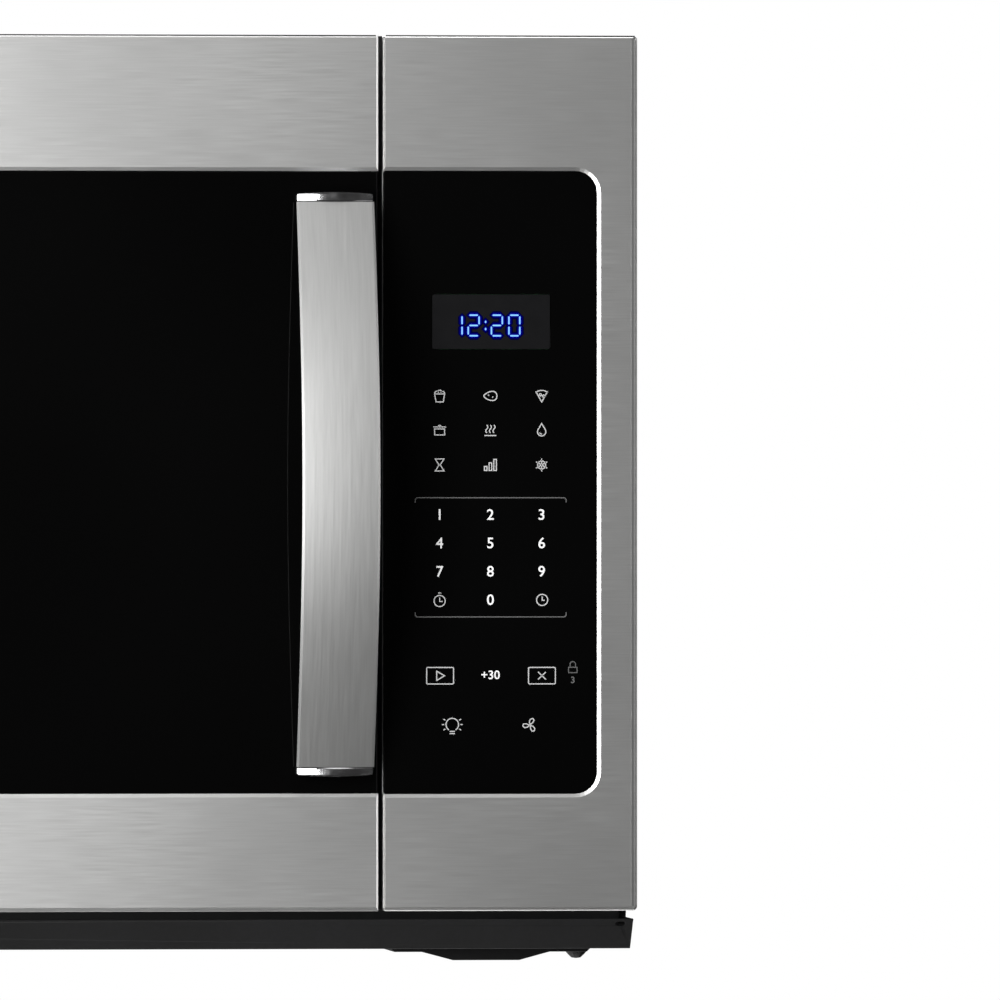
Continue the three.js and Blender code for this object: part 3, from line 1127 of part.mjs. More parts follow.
add("door_band_top", doorBand(GLASS_TOP, FRONT_TOP, true), BRUSHED);
add("door_band_bottom", doorBand(FRONT_BOTTOM, GLASS_BOTTOM, false), BRUSHED);
add("door_glass", doorGlass(), BLACK_GLASS);
add("door_frame", doorFrame(), BLACK_PAINT);
add("choke_cover", chokeCover(), BLACK_PLASTIC);
add("door_screen", doorScreen(), BLACK_PAINT);
add("door_inner_window", innerWindow(), CLEAR_GLASS);
add("latch_bar", latchBar(), WHITE_PLASTIC);
add("latch_spring", latchSpring(), POLISHED);
add("hinge_upper", hingeBracket(HINGE_UPPER_Z, false), ZINC);
add("hinge_lower", hingeBracket(HINGE_LOWER_Z, true), ZINC);
add("handle_strap", handleStrap(), BRUSHED);
add("handle_cap_top", handleCap(1), POLISHED);
add("handle_cap_bottom", handleCap(-1), POLISHED);

// ---------- Control panel ----------
const PANEL_SKIN = 1.2;
const CARRIER_DEPTH = 24;
const SWITCH = { width: 6.4, height: 16, depth: 27 };

// A cutting tool for a hole's front edge: the hole's shape, flared out to a chamfer.
function flaredHole(shape, curveSegments) {
  const geometry = new THREE.ExtrudeGeometry(shape, {
    depth: 3,
    curveSegments,
    bevelThickness: CHAMFER_DEPTH,
    bevelSize: CHAMFER.glass,
    bevelSegments: 1,
  });
  return solid(geometry.rotateX(Math.PI / 2).translate(0, FRONT_Y, 0));
}

function panelFrame() {
  const x0 = PANEL_LEFT;
  const face = roundRect(x0, HALF, FRONT_BOTTOM, FRONT_TOP, [1.3, 2.2, 2.2, 1.3]);
  const shell = plateXZ(face, FRONT_Y, PLATE_Y - FIT, 2, CHAMFER.side);
  const room = box(x0 + PANEL_SKIN, HALF - PANEL_SKIN, FRONT_Y + PANEL_SKIN, PLATE_Y + 1,
    FRONT_BOTTOM + PANEL_SKIN, FRONT_TOP - PANEL_SKIN);
  const c = PANEL_CORNER;
  const hole = roundRect(x0 - 9, TOUCH_RIGHT + FIT, GLASS_BOTTOM - FIT, GLASS_TOP + FIT, [0, c, c, 0]);
  const cutout = plateXZ(hole, FRONT_Y - 5, FRONT_Y + GLASS_SINK + GLASS_THICK, 4);
  const bottom = edgeWedge(x0 - 1, HALF + 1, FRONT_BOTTOM, -1, CHAMFER.bottom);
  return cut(shell, room, cutout, flaredHole(hole, 4), bottom);
}

function touchGlass() {
  const c = PANEL_CORNER - FIT;
  const d = DISPLAY;
  const plate = plateXZ(roundRect(PANEL_LEFT + 0.2, TOUCH_RIGHT, GLASS_BOTTOM, GLASS_TOP, [0.8, c, c, 0.8]),
    GLASS_Y, GLASS_Y + GLASS_THICK - FIT, 3, 0.4);
  const window = plateXZ(roundRect(d.left, d.right, d.bottom, d.top, 1), GLASS_Y - 1, GLASS_Y + 10, 1);
  return cut(plate, window);
}

function displayLens() {
  const d = DISPLAY;
  return plateXZ(roundRect(d.left + FIT, d.right - FIT, d.bottom + FIT, d.top - FIT, 0.7),
    GLASS_Y + 0.1, GLASS_Y + GLASS_THICK - FIT, 1);
}

function controlCarrier() {
  const x0 = PANEL_LEFT + PANEL_SKIN + FIT;
  const x1 = HALF - PANEL_SKIN - FIT;
  const y0 = GLASS_Y + GLASS_THICK + FIT;
  const low = GLASS_BOTTOM - 16;
  const high = GLASS_TOP + 16;
  const body = box(x0, x1, y0, y0 + CARRIER_DEPTH, low, high);
  const room = box(x0 + 3, x1 - 3, y0 + 3, y0 + CARRIER_DEPTH + 1, low + 3, high - 3);
  const stepBack = FRONT_Y + PANEL_SKIN + GLASS_THICK + 1;
  const step = [box(x0 - 1, x1 + 1, y0 - 1, stepBack, GLASS_TOP + 4, high + 1),
    box(x0 - 1, x1 + 1, y0 - 1, stepBack, low - 1, GLASS_BOTTOM - 4)];
  const d = DISPLAY;
  const display = box(d.left - 2, d.right + 2, y0 - 1, y0 + 5, d.bottom - 2, d.top + 2);
  const posts = grid(2, 2, (c, r) =>
    rod("y", c ? x1 - 9 : x0 + 9, y0 + 7.6, r ? high - 39 : low + 39.4, 3, 12, 8));
  return join(cut(body, room, step, display), posts);
}

function controlBoard() {
  const y0 = GLASS_Y + GLASS_THICK + FIT + 13.6 + FIT;
  const board = box(PANEL_LEFT + 8, HALF - 8, y0, y0 + 1.6, GLASS_BOTTOM + 11.4, GLASS_TOP - 11);
  const x = PANEL_LEFT + 20;
  const d = DISPLAY;
  const display = box(d.left - 1, d.right + 1, GLASS_Y + GLASS_THICK + 1, y0 + 0.5, d.bottom - 1, d.top + 1);
  const relays = [0, 1, 2].map((i) => box(x + i * 27, x + 20 + i * 27, y0 + 1, y0 + 15, -90, -62));
  const supply = box(x + 4, x + 44, y0 + 1, y0 + 17, -40, -4);
  const sockets = [box(x + 52, x + 74, y0 + 1, y0 + 9, 10, 18), box(x + 52, x + 74, y0 + 1, y0 + 9, 30, 38)];
  return join(board, display, relays, supply, sockets);
}

function interlockBracket() {
  const y0 = CAVITY_MOUTH_Y;
  const x0 = LATCH.x + LATCH_SLOT.width / 2 + 2;
  const low = LATCH.lower - 34;
  const high = LATCH.upper + 34;
  const wall = box(x0, x0 + 3, y0, y0 + BRACKET_DEPTH, low, high);
  const foot = box(x0 - 22, x0 + 3, y0, y0 + 2.4, low, low + 16);
  const head = box(x0 - 22, x0 + 3, y0, y0 + 2.4, high - 16, high);
  const ledges = [LATCH.upper, LATCH.lower].map((z) =>
    box(x0 - 14, x0 + 1, y0 + 2, y0 + 26, z - 16, z - 13));
  const pins = switchPlaces().flatMap(({ y, z }) =>
    [-5, 5].map((shift) => rod("x", x0 - 3, y + shift, z, 1.2, 7, 6)));
  return join(wall, foot, head, ledges, pins);
}

function switchPlaces() {
  const y = CAVITY_MOUTH_Y + 30;
  return [
    { name: "interlock_switch_upper", y, z: LATCH.upper + 22 },
    { name: "interlock_switch_monitor", y, z: LATCH.lower + 24 },
    { name: "interlock_switch_lower", y, z: LATCH.lower - 27 },
  ];
}

function microSwitch(y, z) {
  const x1 = LATCH.x + LATCH_SLOT.width / 2 + 2 - FIT;
  const x0 = x1 - SWITCH.width;
  const h = SWITCH.height / 2;
  const d = SWITCH.depth / 2;
  const body = box(x0, x1, y - d, y + d, z - h, z + h);
  const blades = [-8, 0, 8].map((shift) =>
    box(x0 + 2.6, x0 + 3.4, y + shift - 2, y + shift + 2, z - h - 6, z - h + 1));
  const button = box(x0 + 2, x0 + 4.4, y - 8, y - 5, z + h - 1, z + h + 1.6);
  const pins = [-5, 5].map((shift) => rod("x", x1, y + shift, z, 1.2 + FIT, 16, 6));
  return cut(join(body, blades, button), pins);
}

function lampCover() {
  const l = LENS;
  const high = BASE_BOTTOM + l.thick;
  const pane = box(l.left + 0.4, l.right - 0.4, l.front + 0.4, l.back - 0.4, BASE_BOTTOM + 0.2, high);
  const lugs = [-1, 1].map((s) =>
    box(s * 66 - 5, s * 66 + 5, l.front + 28, l.front + 40, BASE_BOTTOM + BASE_WALL + FIT, high));
  const ribs = Array.from({ length: 8 }, (_, i) => {
    const x = l.left + 14 + i * 13;
    return box(x, x + 2, l.front + 4, l.back - 4, BASE_BOTTOM + 3.5, BASE_BOTTOM + 5);
  });
  return join(pane, lugs, ribs);
}

function cooktopLamp() {
  const z0 = BASE_BOTTOM + LENS.thick + 1 + FIT;
  const y0 = LENS.front + 6;
  const y1 = LENS.back - 6;
  const x = LENS.right + 8;
  const board = box(-x, x, y0, y1, z0 + 5, z0 + 6.6);
  const lights = grid(3, 1, (c) => box(-42 + c * 36, -30 + c * 36, y0 + 20, y0 + 32, z0 + 1.2, z0 + 5.5));
  const feet = grid(2, 2, (c, r) => box(c ? x - 5 : -x, c ? x : 5 - x, r ? y1 - 6 : y0, r ? y1 : y0 + 6,
    BASE_BOTTOM + BASE_WALL + FIT, z0 + 6));
  return join(board, lights, feet);
}

add("panel_frame", panelFrame(), BRUSHED);
add("touch_glass", touchGlass(), BLACK_GLASS);
add("display_lens", displayLens(), DARK_WINDOW);
add("control_carrier", controlCarrier(), BLACK_PLASTIC);
add("control_board", controlBoard(), BOARD_GREEN);
add("interlock_bracket", interlockBracket(), WHITE_PLASTIC);
for (const { name, y, z } of switchPlaces()) add(name, microSwitch(y, z), BLACK_PLASTIC);
add("cooktop_lamp_lens", lampCover(), CLEAR_GLASS);
add("cooktop_lamp_board", cooktopLamp(), BOARD_GREEN);

export default root;
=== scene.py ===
# %% [markdown]
# # Over the range microwave
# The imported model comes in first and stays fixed: every CAD solid is where the
# mechanism needs it. This script gives each solid its surface, rebuilds the few
# that need a finer shape, and adds the small things that are only looks.

# %% Load the frame
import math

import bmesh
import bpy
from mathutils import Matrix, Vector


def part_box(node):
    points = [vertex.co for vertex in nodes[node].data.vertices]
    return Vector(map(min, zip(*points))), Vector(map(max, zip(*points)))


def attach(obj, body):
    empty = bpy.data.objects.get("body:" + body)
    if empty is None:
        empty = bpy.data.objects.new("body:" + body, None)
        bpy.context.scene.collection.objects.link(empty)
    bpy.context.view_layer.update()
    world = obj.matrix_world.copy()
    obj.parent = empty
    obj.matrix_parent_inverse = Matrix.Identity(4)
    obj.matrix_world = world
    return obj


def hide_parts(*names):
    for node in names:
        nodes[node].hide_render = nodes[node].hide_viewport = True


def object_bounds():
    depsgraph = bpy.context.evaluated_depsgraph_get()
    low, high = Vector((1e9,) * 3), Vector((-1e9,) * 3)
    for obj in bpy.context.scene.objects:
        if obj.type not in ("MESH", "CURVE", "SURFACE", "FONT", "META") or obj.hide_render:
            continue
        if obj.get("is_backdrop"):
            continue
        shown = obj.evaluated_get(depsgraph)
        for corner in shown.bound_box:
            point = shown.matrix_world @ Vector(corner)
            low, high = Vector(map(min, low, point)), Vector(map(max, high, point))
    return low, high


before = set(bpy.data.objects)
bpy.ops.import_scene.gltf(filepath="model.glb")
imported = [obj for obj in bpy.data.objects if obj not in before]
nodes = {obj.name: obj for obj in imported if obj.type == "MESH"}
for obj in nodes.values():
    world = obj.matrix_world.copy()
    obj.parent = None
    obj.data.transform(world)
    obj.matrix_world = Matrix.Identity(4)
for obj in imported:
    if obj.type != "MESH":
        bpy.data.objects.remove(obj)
cad_low, cad_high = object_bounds()

# %% [markdown]
# Blender works in metres, but a microwave is drawn in millimetres, so lengths
# below are written times MM. Colours are the sRGB hex values that a paint chart
# or a photograph gives, and one function turns them into the linear values that
# the renderer mixes light with.

MM = 0.001


def linear(code):
    """An sRGB hex colour as linear red, green, blue and alpha."""
    shares = [int(code[i:i + 2], 16) / 255 for i in (1, 3, 5)]
    return [s / 12.92 if s <= 0.04045 else ((s + 0.055) / 1.055) ** 2.4 for s in shares] + [1]


def put(tree, kind, sockets=None, **settings):
    """Adds a node: settings are its own options, sockets its inputs by name or number."""
    made = tree.nodes.new(kind)
    for name, value in settings.items():
        setattr(made, name, value)
    for key, value in (sockets or {}).items():
        if isinstance(value, bpy.types.NodeSocket):
            tree.links.new(value, made.inputs[key])
        else:
            made.inputs[key].default_value = value
    return made


def start(name, base, metallic, roughness, **sockets):
    """A new material: its node tree, its shader, and the piece's own coordinates in metres."""
    material = bpy.data.materials.new(name)
    material.use_nodes = True
    tree = material.node_tree
    shader = tree.nodes["Principled BSDF"]
    shader.inputs["Base Color"].default_value = linear(base)
    shader.inputs["Metallic"].default_value = metallic
    shader.inputs["Roughness"].default_value = roughness
    for key, value in sockets.items():
        shader.inputs[key.replace("_", " ")].default_value = value
    place = put(tree, "ShaderNodeTexCoord").outputs["Object"]
    return material, tree, shader, place


def tones(tree, factor, *codes):
    """A colour ramp from hex colours, evenly spaced between 0 and 1."""
    ramp = put(tree, "ShaderNodeValToRGB", {0: factor})
    elements = ramp.color_ramp.elements
    while len(elements) < len(codes):
        elements.new(0.5)
    for i, code in enumerate(codes):
        elements[i].position = i / (len(codes) - 1)
        elements[i].color = linear(code)
    return ramp.outputs["Color"]


def noise(tree, place, grains, detail):
    """A noise pattern with so many grains in a metre, as a grey value."""
    return put(tree, "ShaderNodeTexNoise", {"Vector": place, "Scale": grains, "Detail": detail}).outputs[0]


def remap(tree, value, to_low, to_high, from_low=0.0, from_high=1.0):
    """Stretches a value from one range to another."""
    sockets = {0: value, 1: from_low, 2: from_high, 3: to_low, 4: to_high}
    return put(tree, "ShaderNodeMapRange", sockets).outputs[0]


def shaded(tree, base, shade):
    """A hex colour made darker or lighter by a value near 1."""
    sockets = {0: linear(base)[:3], "Scale": shade}
    return put(tree, "ShaderNodeVectorMath", sockets, operation="SCALE").outputs[0]


def relief(tree, shader, height, depth, strength):
    """Turns a height from 0 to 1 into bumps of a real depth."""
    bump = put(tree, "ShaderNodeBump", {"Height": height, "Distance": depth, "Strength": strength})
    tree.links.new(bump.outputs["Normal"], shader.inputs["Normal"])


# %% [markdown]
# ## Brushed stainless steel
# The bands of the door, the panel's frame and the handle are ferritic stainless
# sheet, drawn under an abrasive belt. The belt leaves fine scratches in one
# direction. They stretch each highlight across themselves, which is what
# anisotropy does, so the shader's tangent runs across the grain. It leans a
# little towards y, or it would point straight out of the folded edges. A real
# scratch is 0.1 mm wide, and is drawn 0.7 mm wide here so that it shows.

# %% Brushed stainless
GRAIN_WIDTH = 0.7 * MM
GRAIN_LENGTH = 22 * MM
TANGENT_LEAN = 0.3


def brushed_stainless(name, across, base, roughness, stretch):
    """Steel whose scratches are narrow along one axis, 0 for x or 2 for z."""
    material, tree, shader, place = start(name, base, 1, roughness, Anisotropic=stretch)
    fine = [1 / GRAIN_LENGTH] * 3
    fine[across] = 1 / GRAIN_WIDTH
    stretched = put(tree, "ShaderNodeMapping", {"Vector": place, "Scale": fine}).outputs[0]
    scratches = noise(tree, stretched, 1, 3)
    cloudy = noise(tree, place, 9, 1)
    shade = remap(tree, scratches, 0.95, 1.03, 0.3, 0.7)
    tree.links.new(shaded(tree, base, shade), shader.inputs["Base Color"])
    worn = put(tree, "ShaderNodeMath", {0: scratches, 1: cloudy}, operation="MULTIPLY").outputs[0]
    dull = remap(tree, worn, roughness - 0.015, roughness + 0.02, 0.15, 0.4)
    tree.links.new(dull, shader.inputs["Roughness"])
    relief(tree, shader, scratches, 0.003 * MM, 0.2)
    axis = [0.0, TANGENT_LEAN, 0.0]
    axis[across] = 1.0
    tangent = put(tree, "ShaderNodeVectorTransform", {0: axis},
                  vector_type="VECTOR", convert_from="OBJECT", convert_to="WORLD")
    tree.links.new(tangent.outputs[0], shader.inputs["Tangent"])
    return material


steel_across = brushed_stainless("brushed_stainless_horizontal_grain", 2, "#C5C5C4", 0.42, 0.4)
# The handle is the same steel as the bands, but its base is darker: painted shade that holds its highlight
# down.
steel_upright_painted_shade = brushed_stainless("brushed_stainless_vertical_grain_painted_shade", 0, "#ACACAB", 0.48, 0.15)
print("brushed:", steel_across.name, "and", steel_upright_painted_shade.name)

# %% [markdown]
# ## Polished and plated metal
# The handle's end caps are zinc castings, polished and plated bright, so they
# mirror the room with only a breath of haze. Screws and pins are nickel plated
# and a little duller. Aluminium and bare silicon steel are duller still.

# %% Polished castings and screws


def plated(name, base, roughness, grit):
    """Bare metal with a haze of a real size, which makes it duller and paler in places."""
    material, tree, shader, place = start(name, base, 1, roughness)
    haze = noise(tree, place, 1 / grit, 3)
    dull = remap(tree, haze, roughness * 0.7, roughness * 1.4, 0.3, 0.7)
    tree.links.new(dull, shader.inputs["Roughness"])
    shade = remap(tree, haze, 0.94, 1.03, 0.2, 0.8)
    tree.links.new(shaded(tree, base, shade), shader.inputs["Base Color"])
    return material


bright_casting = plated("polished_zinc_casting", "#D9D9DA", 0.16, 6 * MM)
nickel_screw = plated("nickel_plated_steel", "#B9B6AE", 0.28, 1.5 * MM)
rolled_aluminium = plated("rolled_aluminium", "#C3C6C9", 0.38, 4 * MM)
silicon_steel = plated("silicon_steel_laminations", "#77797C", 0.46, 2 * MM)
print("plated or bare:", bright_casting.name, nickel_screw.name, rolled_aluminium.name, silicon_steel.name)

# %% [markdown]
# ## Galvanised sheet
# The parts that are never painted are hot dip galvanised steel. Zinc freezes in
# flat crystals, the spangle, some 4 mm across, each a slightly different grey
# and gloss. A Voronoi texture gives one value for each crystal.

# %% Galvanised steel
SPANGLE = 4 * MM


def galvanised():
    """Zinc whose crystals differ in tone and gloss."""
    material, tree, shader, place = start("galvanised_steel", "#B3B6B5", 0.75, 0.48)
    crystals = put(tree, "ShaderNodeTexVoronoi", {"Vector": place, "Scale": 1 / SPANGLE}).outputs["Color"]
    one = put(tree, "ShaderNodeSeparateColor", {0: crystals}).outputs[0]
    tree.links.new(tones(tree, one, "#AAAEAD", "#B3B6B5", "#BBBEBC"), shader.inputs["Base Color"])
    tree.links.new(remap(tree, one, 0.44, 0.54), shader.inputs["Roughness"])
    relief(tree, shader, one, 0.02 * MM, 0.1)
    return material


zinc_sheet = galvanised()
print("zinc:", zinc_sheet.name, "with %.0f mm crystals" % (SPANGLE / MM))

# %% [markdown]
# ## Glass
# The front glass is clear tempered sheet with black enamel fired on its back,
# so it is a deep black under a flawless gloss. The turntable's tray and the
# inner window are clear soda lime glass, which is faintly green where it is
# thick. The display's window is smoked plastic.

# %% Glass and smoked plastic


def enamelled_glass():
    """Black glass: almost no tone of its own, and a faint wave in its gloss."""
    material, tree, shader, place = start("black_enamelled_tempered_glass", "#030303", 0, 0.03, IOR=1.52)
    shader.inputs["Specular IOR Level"].default_value = 0.15
    wave = noise(tree, place, 7, 1)
    tree.links.new(tones(tree, wave, "#020202", "#050505"), shader.inputs["Base Color"])
    relief(tree, shader, wave, 0.05 * MM, 0.05)
    return material


def clear_glass(name, base, roughness):
    """Glass that lets light through, smooth or frosted."""
    material, tree, shader, place = start(name, base, 0, roughness, IOR=1.52)
    shader.inputs["Transmission Weight"].default_value = 0.92
    flow = noise(tree, place, 60, 2)
    tree.links.new(remap(tree, flow, roughness, roughness + 0.03), shader.inputs["Roughness"])
    relief(tree, shader, flow, 0.1 * MM, 0.15)
    return material


def smoked_plastic():
    """The dark window over the clock, with a haze of fine scratches."""
    material, tree, shader, place = start("smoked_acrylic", "#111112", 0, 0.16, IOR=1.49)
    shader.inputs["Specular IOR Level"].default_value = 0.3
    haze = noise(tree, place, 120, 2)
    tree.links.new(remap(tree, haze, 0.12, 0.2), shader.inputs["Roughness"])
    tree.links.new(tones(tree, haze, "#111112", "#151516"), shader.inputs["Base Color"])
    return material


black_glass = enamelled_glass()
tray_glass = clear_glass("clear_soda_lime_glass", "#DCE9E4", 0.02)
lamp_glass = clear_glass("frosted_lamp_glass", "#F1EFE6", 0.22)
display_plastic = smoked_plastic()
print("clear and dark:", black_glass.name, tray_glass.name, lamp_glass.name, display_plastic.name)

# %% [markdown]
# ## Paint, plastic and the rest
# The casing is powder coated: the powder melts into a skin with a fine orange
# peel. Moulded ABS has a spark eroded texture of tiny flats. Both are one
# function with a real grain size, and so are the oven's enamel, the acetal of
# the rollers, the mica, the charcoal, the boards and the inks on the glass.

# %% Coated and moulded surfaces
GLOSS_DRIFT = 0.04


def grained(name, base, light, roughness, grit, depth, metallic=0, ior=1.5, gloss=0.5):
    """A coated or moulded surface whose grain has a real size, with a slow drift of tone."""
    material, tree, shader, place = start(name, base, metallic, roughness, IOR=ior, Specular_IOR_Level=gloss)
    fine = noise(tree, place, 1 / grit, 3)
    slow = noise(tree, place, 14, 2)
    mixed = put(tree, "ShaderNodeMath", {0: fine, 1: slow}, operation="MULTIPLY").outputs[0]
    tone = remap(tree, mixed, 0.0, 1.0, 0.12, 0.42)
    tree.links.new(tones(tree, tone, base, light), shader.inputs["Base Color"])
    dull = remap(tree, slow, roughness - GLOSS_DRIFT, roughness + GLOSS_DRIFT, 0.3, 0.7)
    tree.links.new(dull, shader.inputs["Roughness"])
    relief(tree, shader, fine, depth, 0.5)
    return material


powder_coat = grained("black_powder_coat", "#1B1B1C", "#242425", 0.42, 1.6 * MM, 0.03 * MM)
lip_paint = grained("charcoal_baked_enamel", "#111111", "#171718", 0.45, 2.4 * MM, 0.012 * MM, gloss=0.15)
black_abs = grained("spark_textured_black_abs", "#161617", "#202021", 0.52, 0.8 * MM, 0.04 * MM)
black_nylon = grained("glass_filled_black_nylon", "#1A1A1B", "#2A2A2B", 0.46, 1.1 * MM, 0.03 * MM)
white_acetal = grained("white_acetal", "#E2DFD6", "#EDEBE4", 0.38, 1.3 * MM, 0.01 * MM)
oven_enamel = grained("grey_oven_enamel", "#B2AFA7", "#B9B6AD", 0.3, 1.8 * MM, 0.004 * MM, ior=1.54)
mica = grained("pressed_mica_sheet", "#9C8D70", "#C9BC9F", 0.55, 3.2 * MM, 0.05 * MM)
charcoal = grained("activated_charcoal", "#141414", "#303030", 0.9, 2.2 * MM, 0.6 * MM)
solder_mask = grained("green_solder_mask", "#1E4D2B", "#2C6438", 0.4, 1.2 * MM, 0.01 * MM)
faint_ink = grained("grey_screen_ink", "#484848", "#505050", 0.6, 0.6 * MM, 0.005 * MM)
mark_ink = grained("pale_screen_ink", "#A6A6A6", "#B0B0B0", 0.6, 0.6 * MM, 0.005 * MM)
bright_ink = grained("white_screen_ink", "#D2D2D2", "#DCDCDC", 0.6, 0.6 * MM, 0.005 * MM)
# This material only darkens the strips along the tops of the fronts: painted shade where the folded sheet
# turns away from the light.
edge_shade_paint = grained("painted_edge_shade", "#0E0E0E", "#1A1A1A", 0.5, 0.8 * MM, 0.02 * MM, metallic=0.4)
print("coatings:", powder_coat.name, oven_enamel.name, black_abs.name)

# %% [markdown]
# ## Patterned pieces
# Some finishes are a pattern with a real pitch: the copper turns of a winding,
# the stacked sheets of a transformer's core, and the punched holes in the
# door's screen, which stop microwaves and let light through; the holes are
# drawn as dots of painted shade. Each pitch below is what such pieces have.
# A wave texture of scale 1 repeats every 0.1 pi.

# %% Windings, laminations and the perforated screen
WIRE_PITCH = 0.55 * MM
SHEET_PITCH = 0.5 * MM
HOLE_PITCH = 2.4 * MM
WAVE_LENGTH = 0.1 * math.pi


def striped(name, dark, light, axis, pitch, metallic, roughness, depth):
    """Fine parallel lines along one axis, one for each wire or sheet."""
    material, tree, shader, place = start(name, dark, metallic, roughness)
    sockets = {"Vector": place, "Scale": WAVE_LENGTH / pitch, "Distortion": 0.4}
    lines = put(tree, "ShaderNodeTexWave", sockets, bands_direction=axis).outputs["Fac"]
    tree.links.new(tones(tree, lines, dark, light), shader.inputs["Base Color"])
    relief(tree, shader, lines, depth, 0.6)
    return material


def perforated():
    """Black sheet with rows of dots of painted shade, sunk a little, where its holes are."""
    material, tree, shader, place = start("perforated_black_steel", "#161616", 0.3, 0.42)
    spot = put(tree, "ShaderNodeTexVoronoi", {"Vector": place, "Scale": 1 / HOLE_PITCH, "Randomness": 0.0})
    # The holes are painted shade: dark dots where the dark behind the screen would show.
    hole_painted_shade = remap(tree, spot.outputs["Distance"], 0.0, 1.0, 0.32, 0.4)
    tree.links.new(tones(tree, hole_painted_shade, "#020202", "#232323"), shader.inputs["Base Color"])
    relief(tree, shader, hole_painted_shade, 0.4 * MM, 0.8)
    return material


copper_winding = striped(
    "enamelled_copper_winding", "#6E3417", "#B4653A", "Z", WIRE_PITCH, 0.9, 0.34, 0.3 * MM)
core_stack = striped(
    "stacked_silicon_steel", "#5E6164", "#8C9093", "Y", SHEET_PITCH, 0.85, 0.45, 0.1 * MM)
screen_steel = perforated()
print("patterns:", copper_winding.name, core_stack.name, screen_steel.name)

# %% [markdown]
# ## Dressing the solids
# Most solids have the right shape already, so they only get a surface. Real
# sheet and mouldings never end in a knife edge: a weld joins the imported
# triangles, and a bevel of a few tenths of a millimetre catches the light along
# every sharp edge, with its normals hardened so that the flats stay flat.

# %% Surfaces for each solid
FINISH_OF = {
    "outer_cabinet": powder_coat, "rear_panel": zinc_sheet, "front_plate": powder_coat,
    "base_pan": lip_paint, "vent_grille": black_abs, "charcoal_filter": charcoal,
    "duct_cover": zinc_sheet, "cord_gland": black_nylon,
    "oven_cavity": oven_enamel, "waveguide_cover": mica, "turntable_motor": zinc_sheet,
    "drive_coupler": white_acetal, "glass_tray": tray_glass, "roller_ring": black_nylon,
    "roller_1": white_acetal, "roller_2": white_acetal, "roller_3": white_acetal,
    "electrics_tray": zinc_sheet, "waveguide": zinc_sheet, "magnetron": rolled_aluminium,
    "transformer_core": core_stack, "transformer_windings": copper_winding,
    "hv_capacitor": rolled_aluminium, "fan_shroud": black_nylon, "fan_motor": silicon_steel,
    "fan_blade": black_nylon,
    "line_filter_board": solder_mask, "oven_lamp_holder": zinc_sheet, "oven_lamp_bulb": lamp_glass,
    "blower_housing": zinc_sheet, "blower_motor": silicon_steel, "blower_wheel_left": black_nylon,
    "blower_wheel_right": black_nylon, "door_band_top": steel_across, "door_band_bottom": steel_across,
    "door_glass": black_glass, "door_frame": powder_coat, "choke_cover": black_abs,
    "door_screen": screen_steel,
    "door_inner_window": tray_glass, "latch_bar": white_acetal, "latch_spring": nickel_screw,
    "hinge_upper": nickel_screw, "hinge_lower": nickel_screw, "handle_strap": steel_upright_painted_shade,
    "handle_cap_top": bright_casting, "handle_cap_bottom": bright_casting, "panel_frame": steel_across,
    "touch_glass": black_glass, "display_lens": display_plastic, "control_carrier": black_abs,
    "control_board": solder_mask, "interlock_bracket": white_acetal,
    "interlock_switch_upper": black_nylon,
    "interlock_switch_monitor": black_nylon, "interlock_switch_lower": black_nylon,
    "cooktop_lamp_lens": lamp_glass, "cooktop_lamp_board": solder_mask,
    "grease_filter_left": rolled_aluminium, "grease_filter_right": rolled_aluminium,
}
SHARP = math.radians(32)
WELD_REACH = 0.005 * MM
EDGE_OF = {
    "door_band_top": 0.15, "door_band_bottom": 0.15, "panel_frame": 0.15, "door_glass": 0.4,
    "touch_glass": 0.4, "outer_cabinet": 0.5, "base_pan": 0.7, "choke_cover": 0.6, "door_frame": 0.6,
    "front_plate": 0.3, "rear_panel": 0.3, "vent_grille": 0.5, "glass_tray": 0.5, "roller_ring": 0.4,
    "grease_filter_left": 0.4, "grease_filter_right": 0.4, "duct_cover": 0.3, "cord_gland": 0.4,
    "latch_bar": 0.4, "cooktop_lamp_lens": 0.3, "oven_cavity": 0.4, "hinge_upper": 0.3,
    "hinge_lower": 0.3, "blower_housing": 0.3, "magnetron": 0.3, "transformer_core": 0.5,
    "control_carrier": 0.4, "charcoal_filter": 0.4,
}


def surface(piece, material):
    """Gives a piece one material, in its own slot."""
    piece.data.materials.clear()
    piece.data.materials.append(material)


def ease(piece, width):
    """Joins the split triangles and rounds every sharp edge by a real width in millimetres."""
    weld = piece.modifiers.new("weld", "WELD")
    weld.merge_threshold = WELD_REACH
    bevel = piece.modifiers.new("edges", "BEVEL")
    bevel.width = width * MM
    bevel.segments = 2
    bevel.limit_method = "ANGLE"
    bevel.angle_limit = SHARP
    bevel.harden_normals = True


for name, piece in nodes.items():
    surface(piece, FINISH_OF[name])
    if name in EDGE_OF:
        ease(piece, EDGE_OF[name])
print("dressed:", len(FINISH_OF), "solids,", len(EDGE_OF), "with eased edges")

# %% [markdown]
# ## Building pieces in code
# A rebuilt piece is a closed skin through a row of rings, like the ribs and
# planks of a boat. Each ring has the same number of points, neighbouring rings
# are joined by quads, and the two ends are closed. It suits straps, castings
# and wires alike, and keeps every face on the outside.

# %% Lofts and boxes


def piece_of(name, mesh, body, material, replaced=()):
    """Makes an object from a bmesh, gives it its surface and seats it on a CAD body."""
    bmesh.ops.recalc_face_normals(mesh, faces=mesh.faces)
    for face in mesh.faces:
        face.smooth = False
    data = bpy.data.meshes.new(name)
    mesh.to_mesh(data)
    mesh.free()
    made = bpy.data.objects.new(name, data)
    bpy.context.scene.collection.objects.link(made)
    surface(made, material)
    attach(made, body)
    if replaced:
        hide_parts(*replaced)
    return made


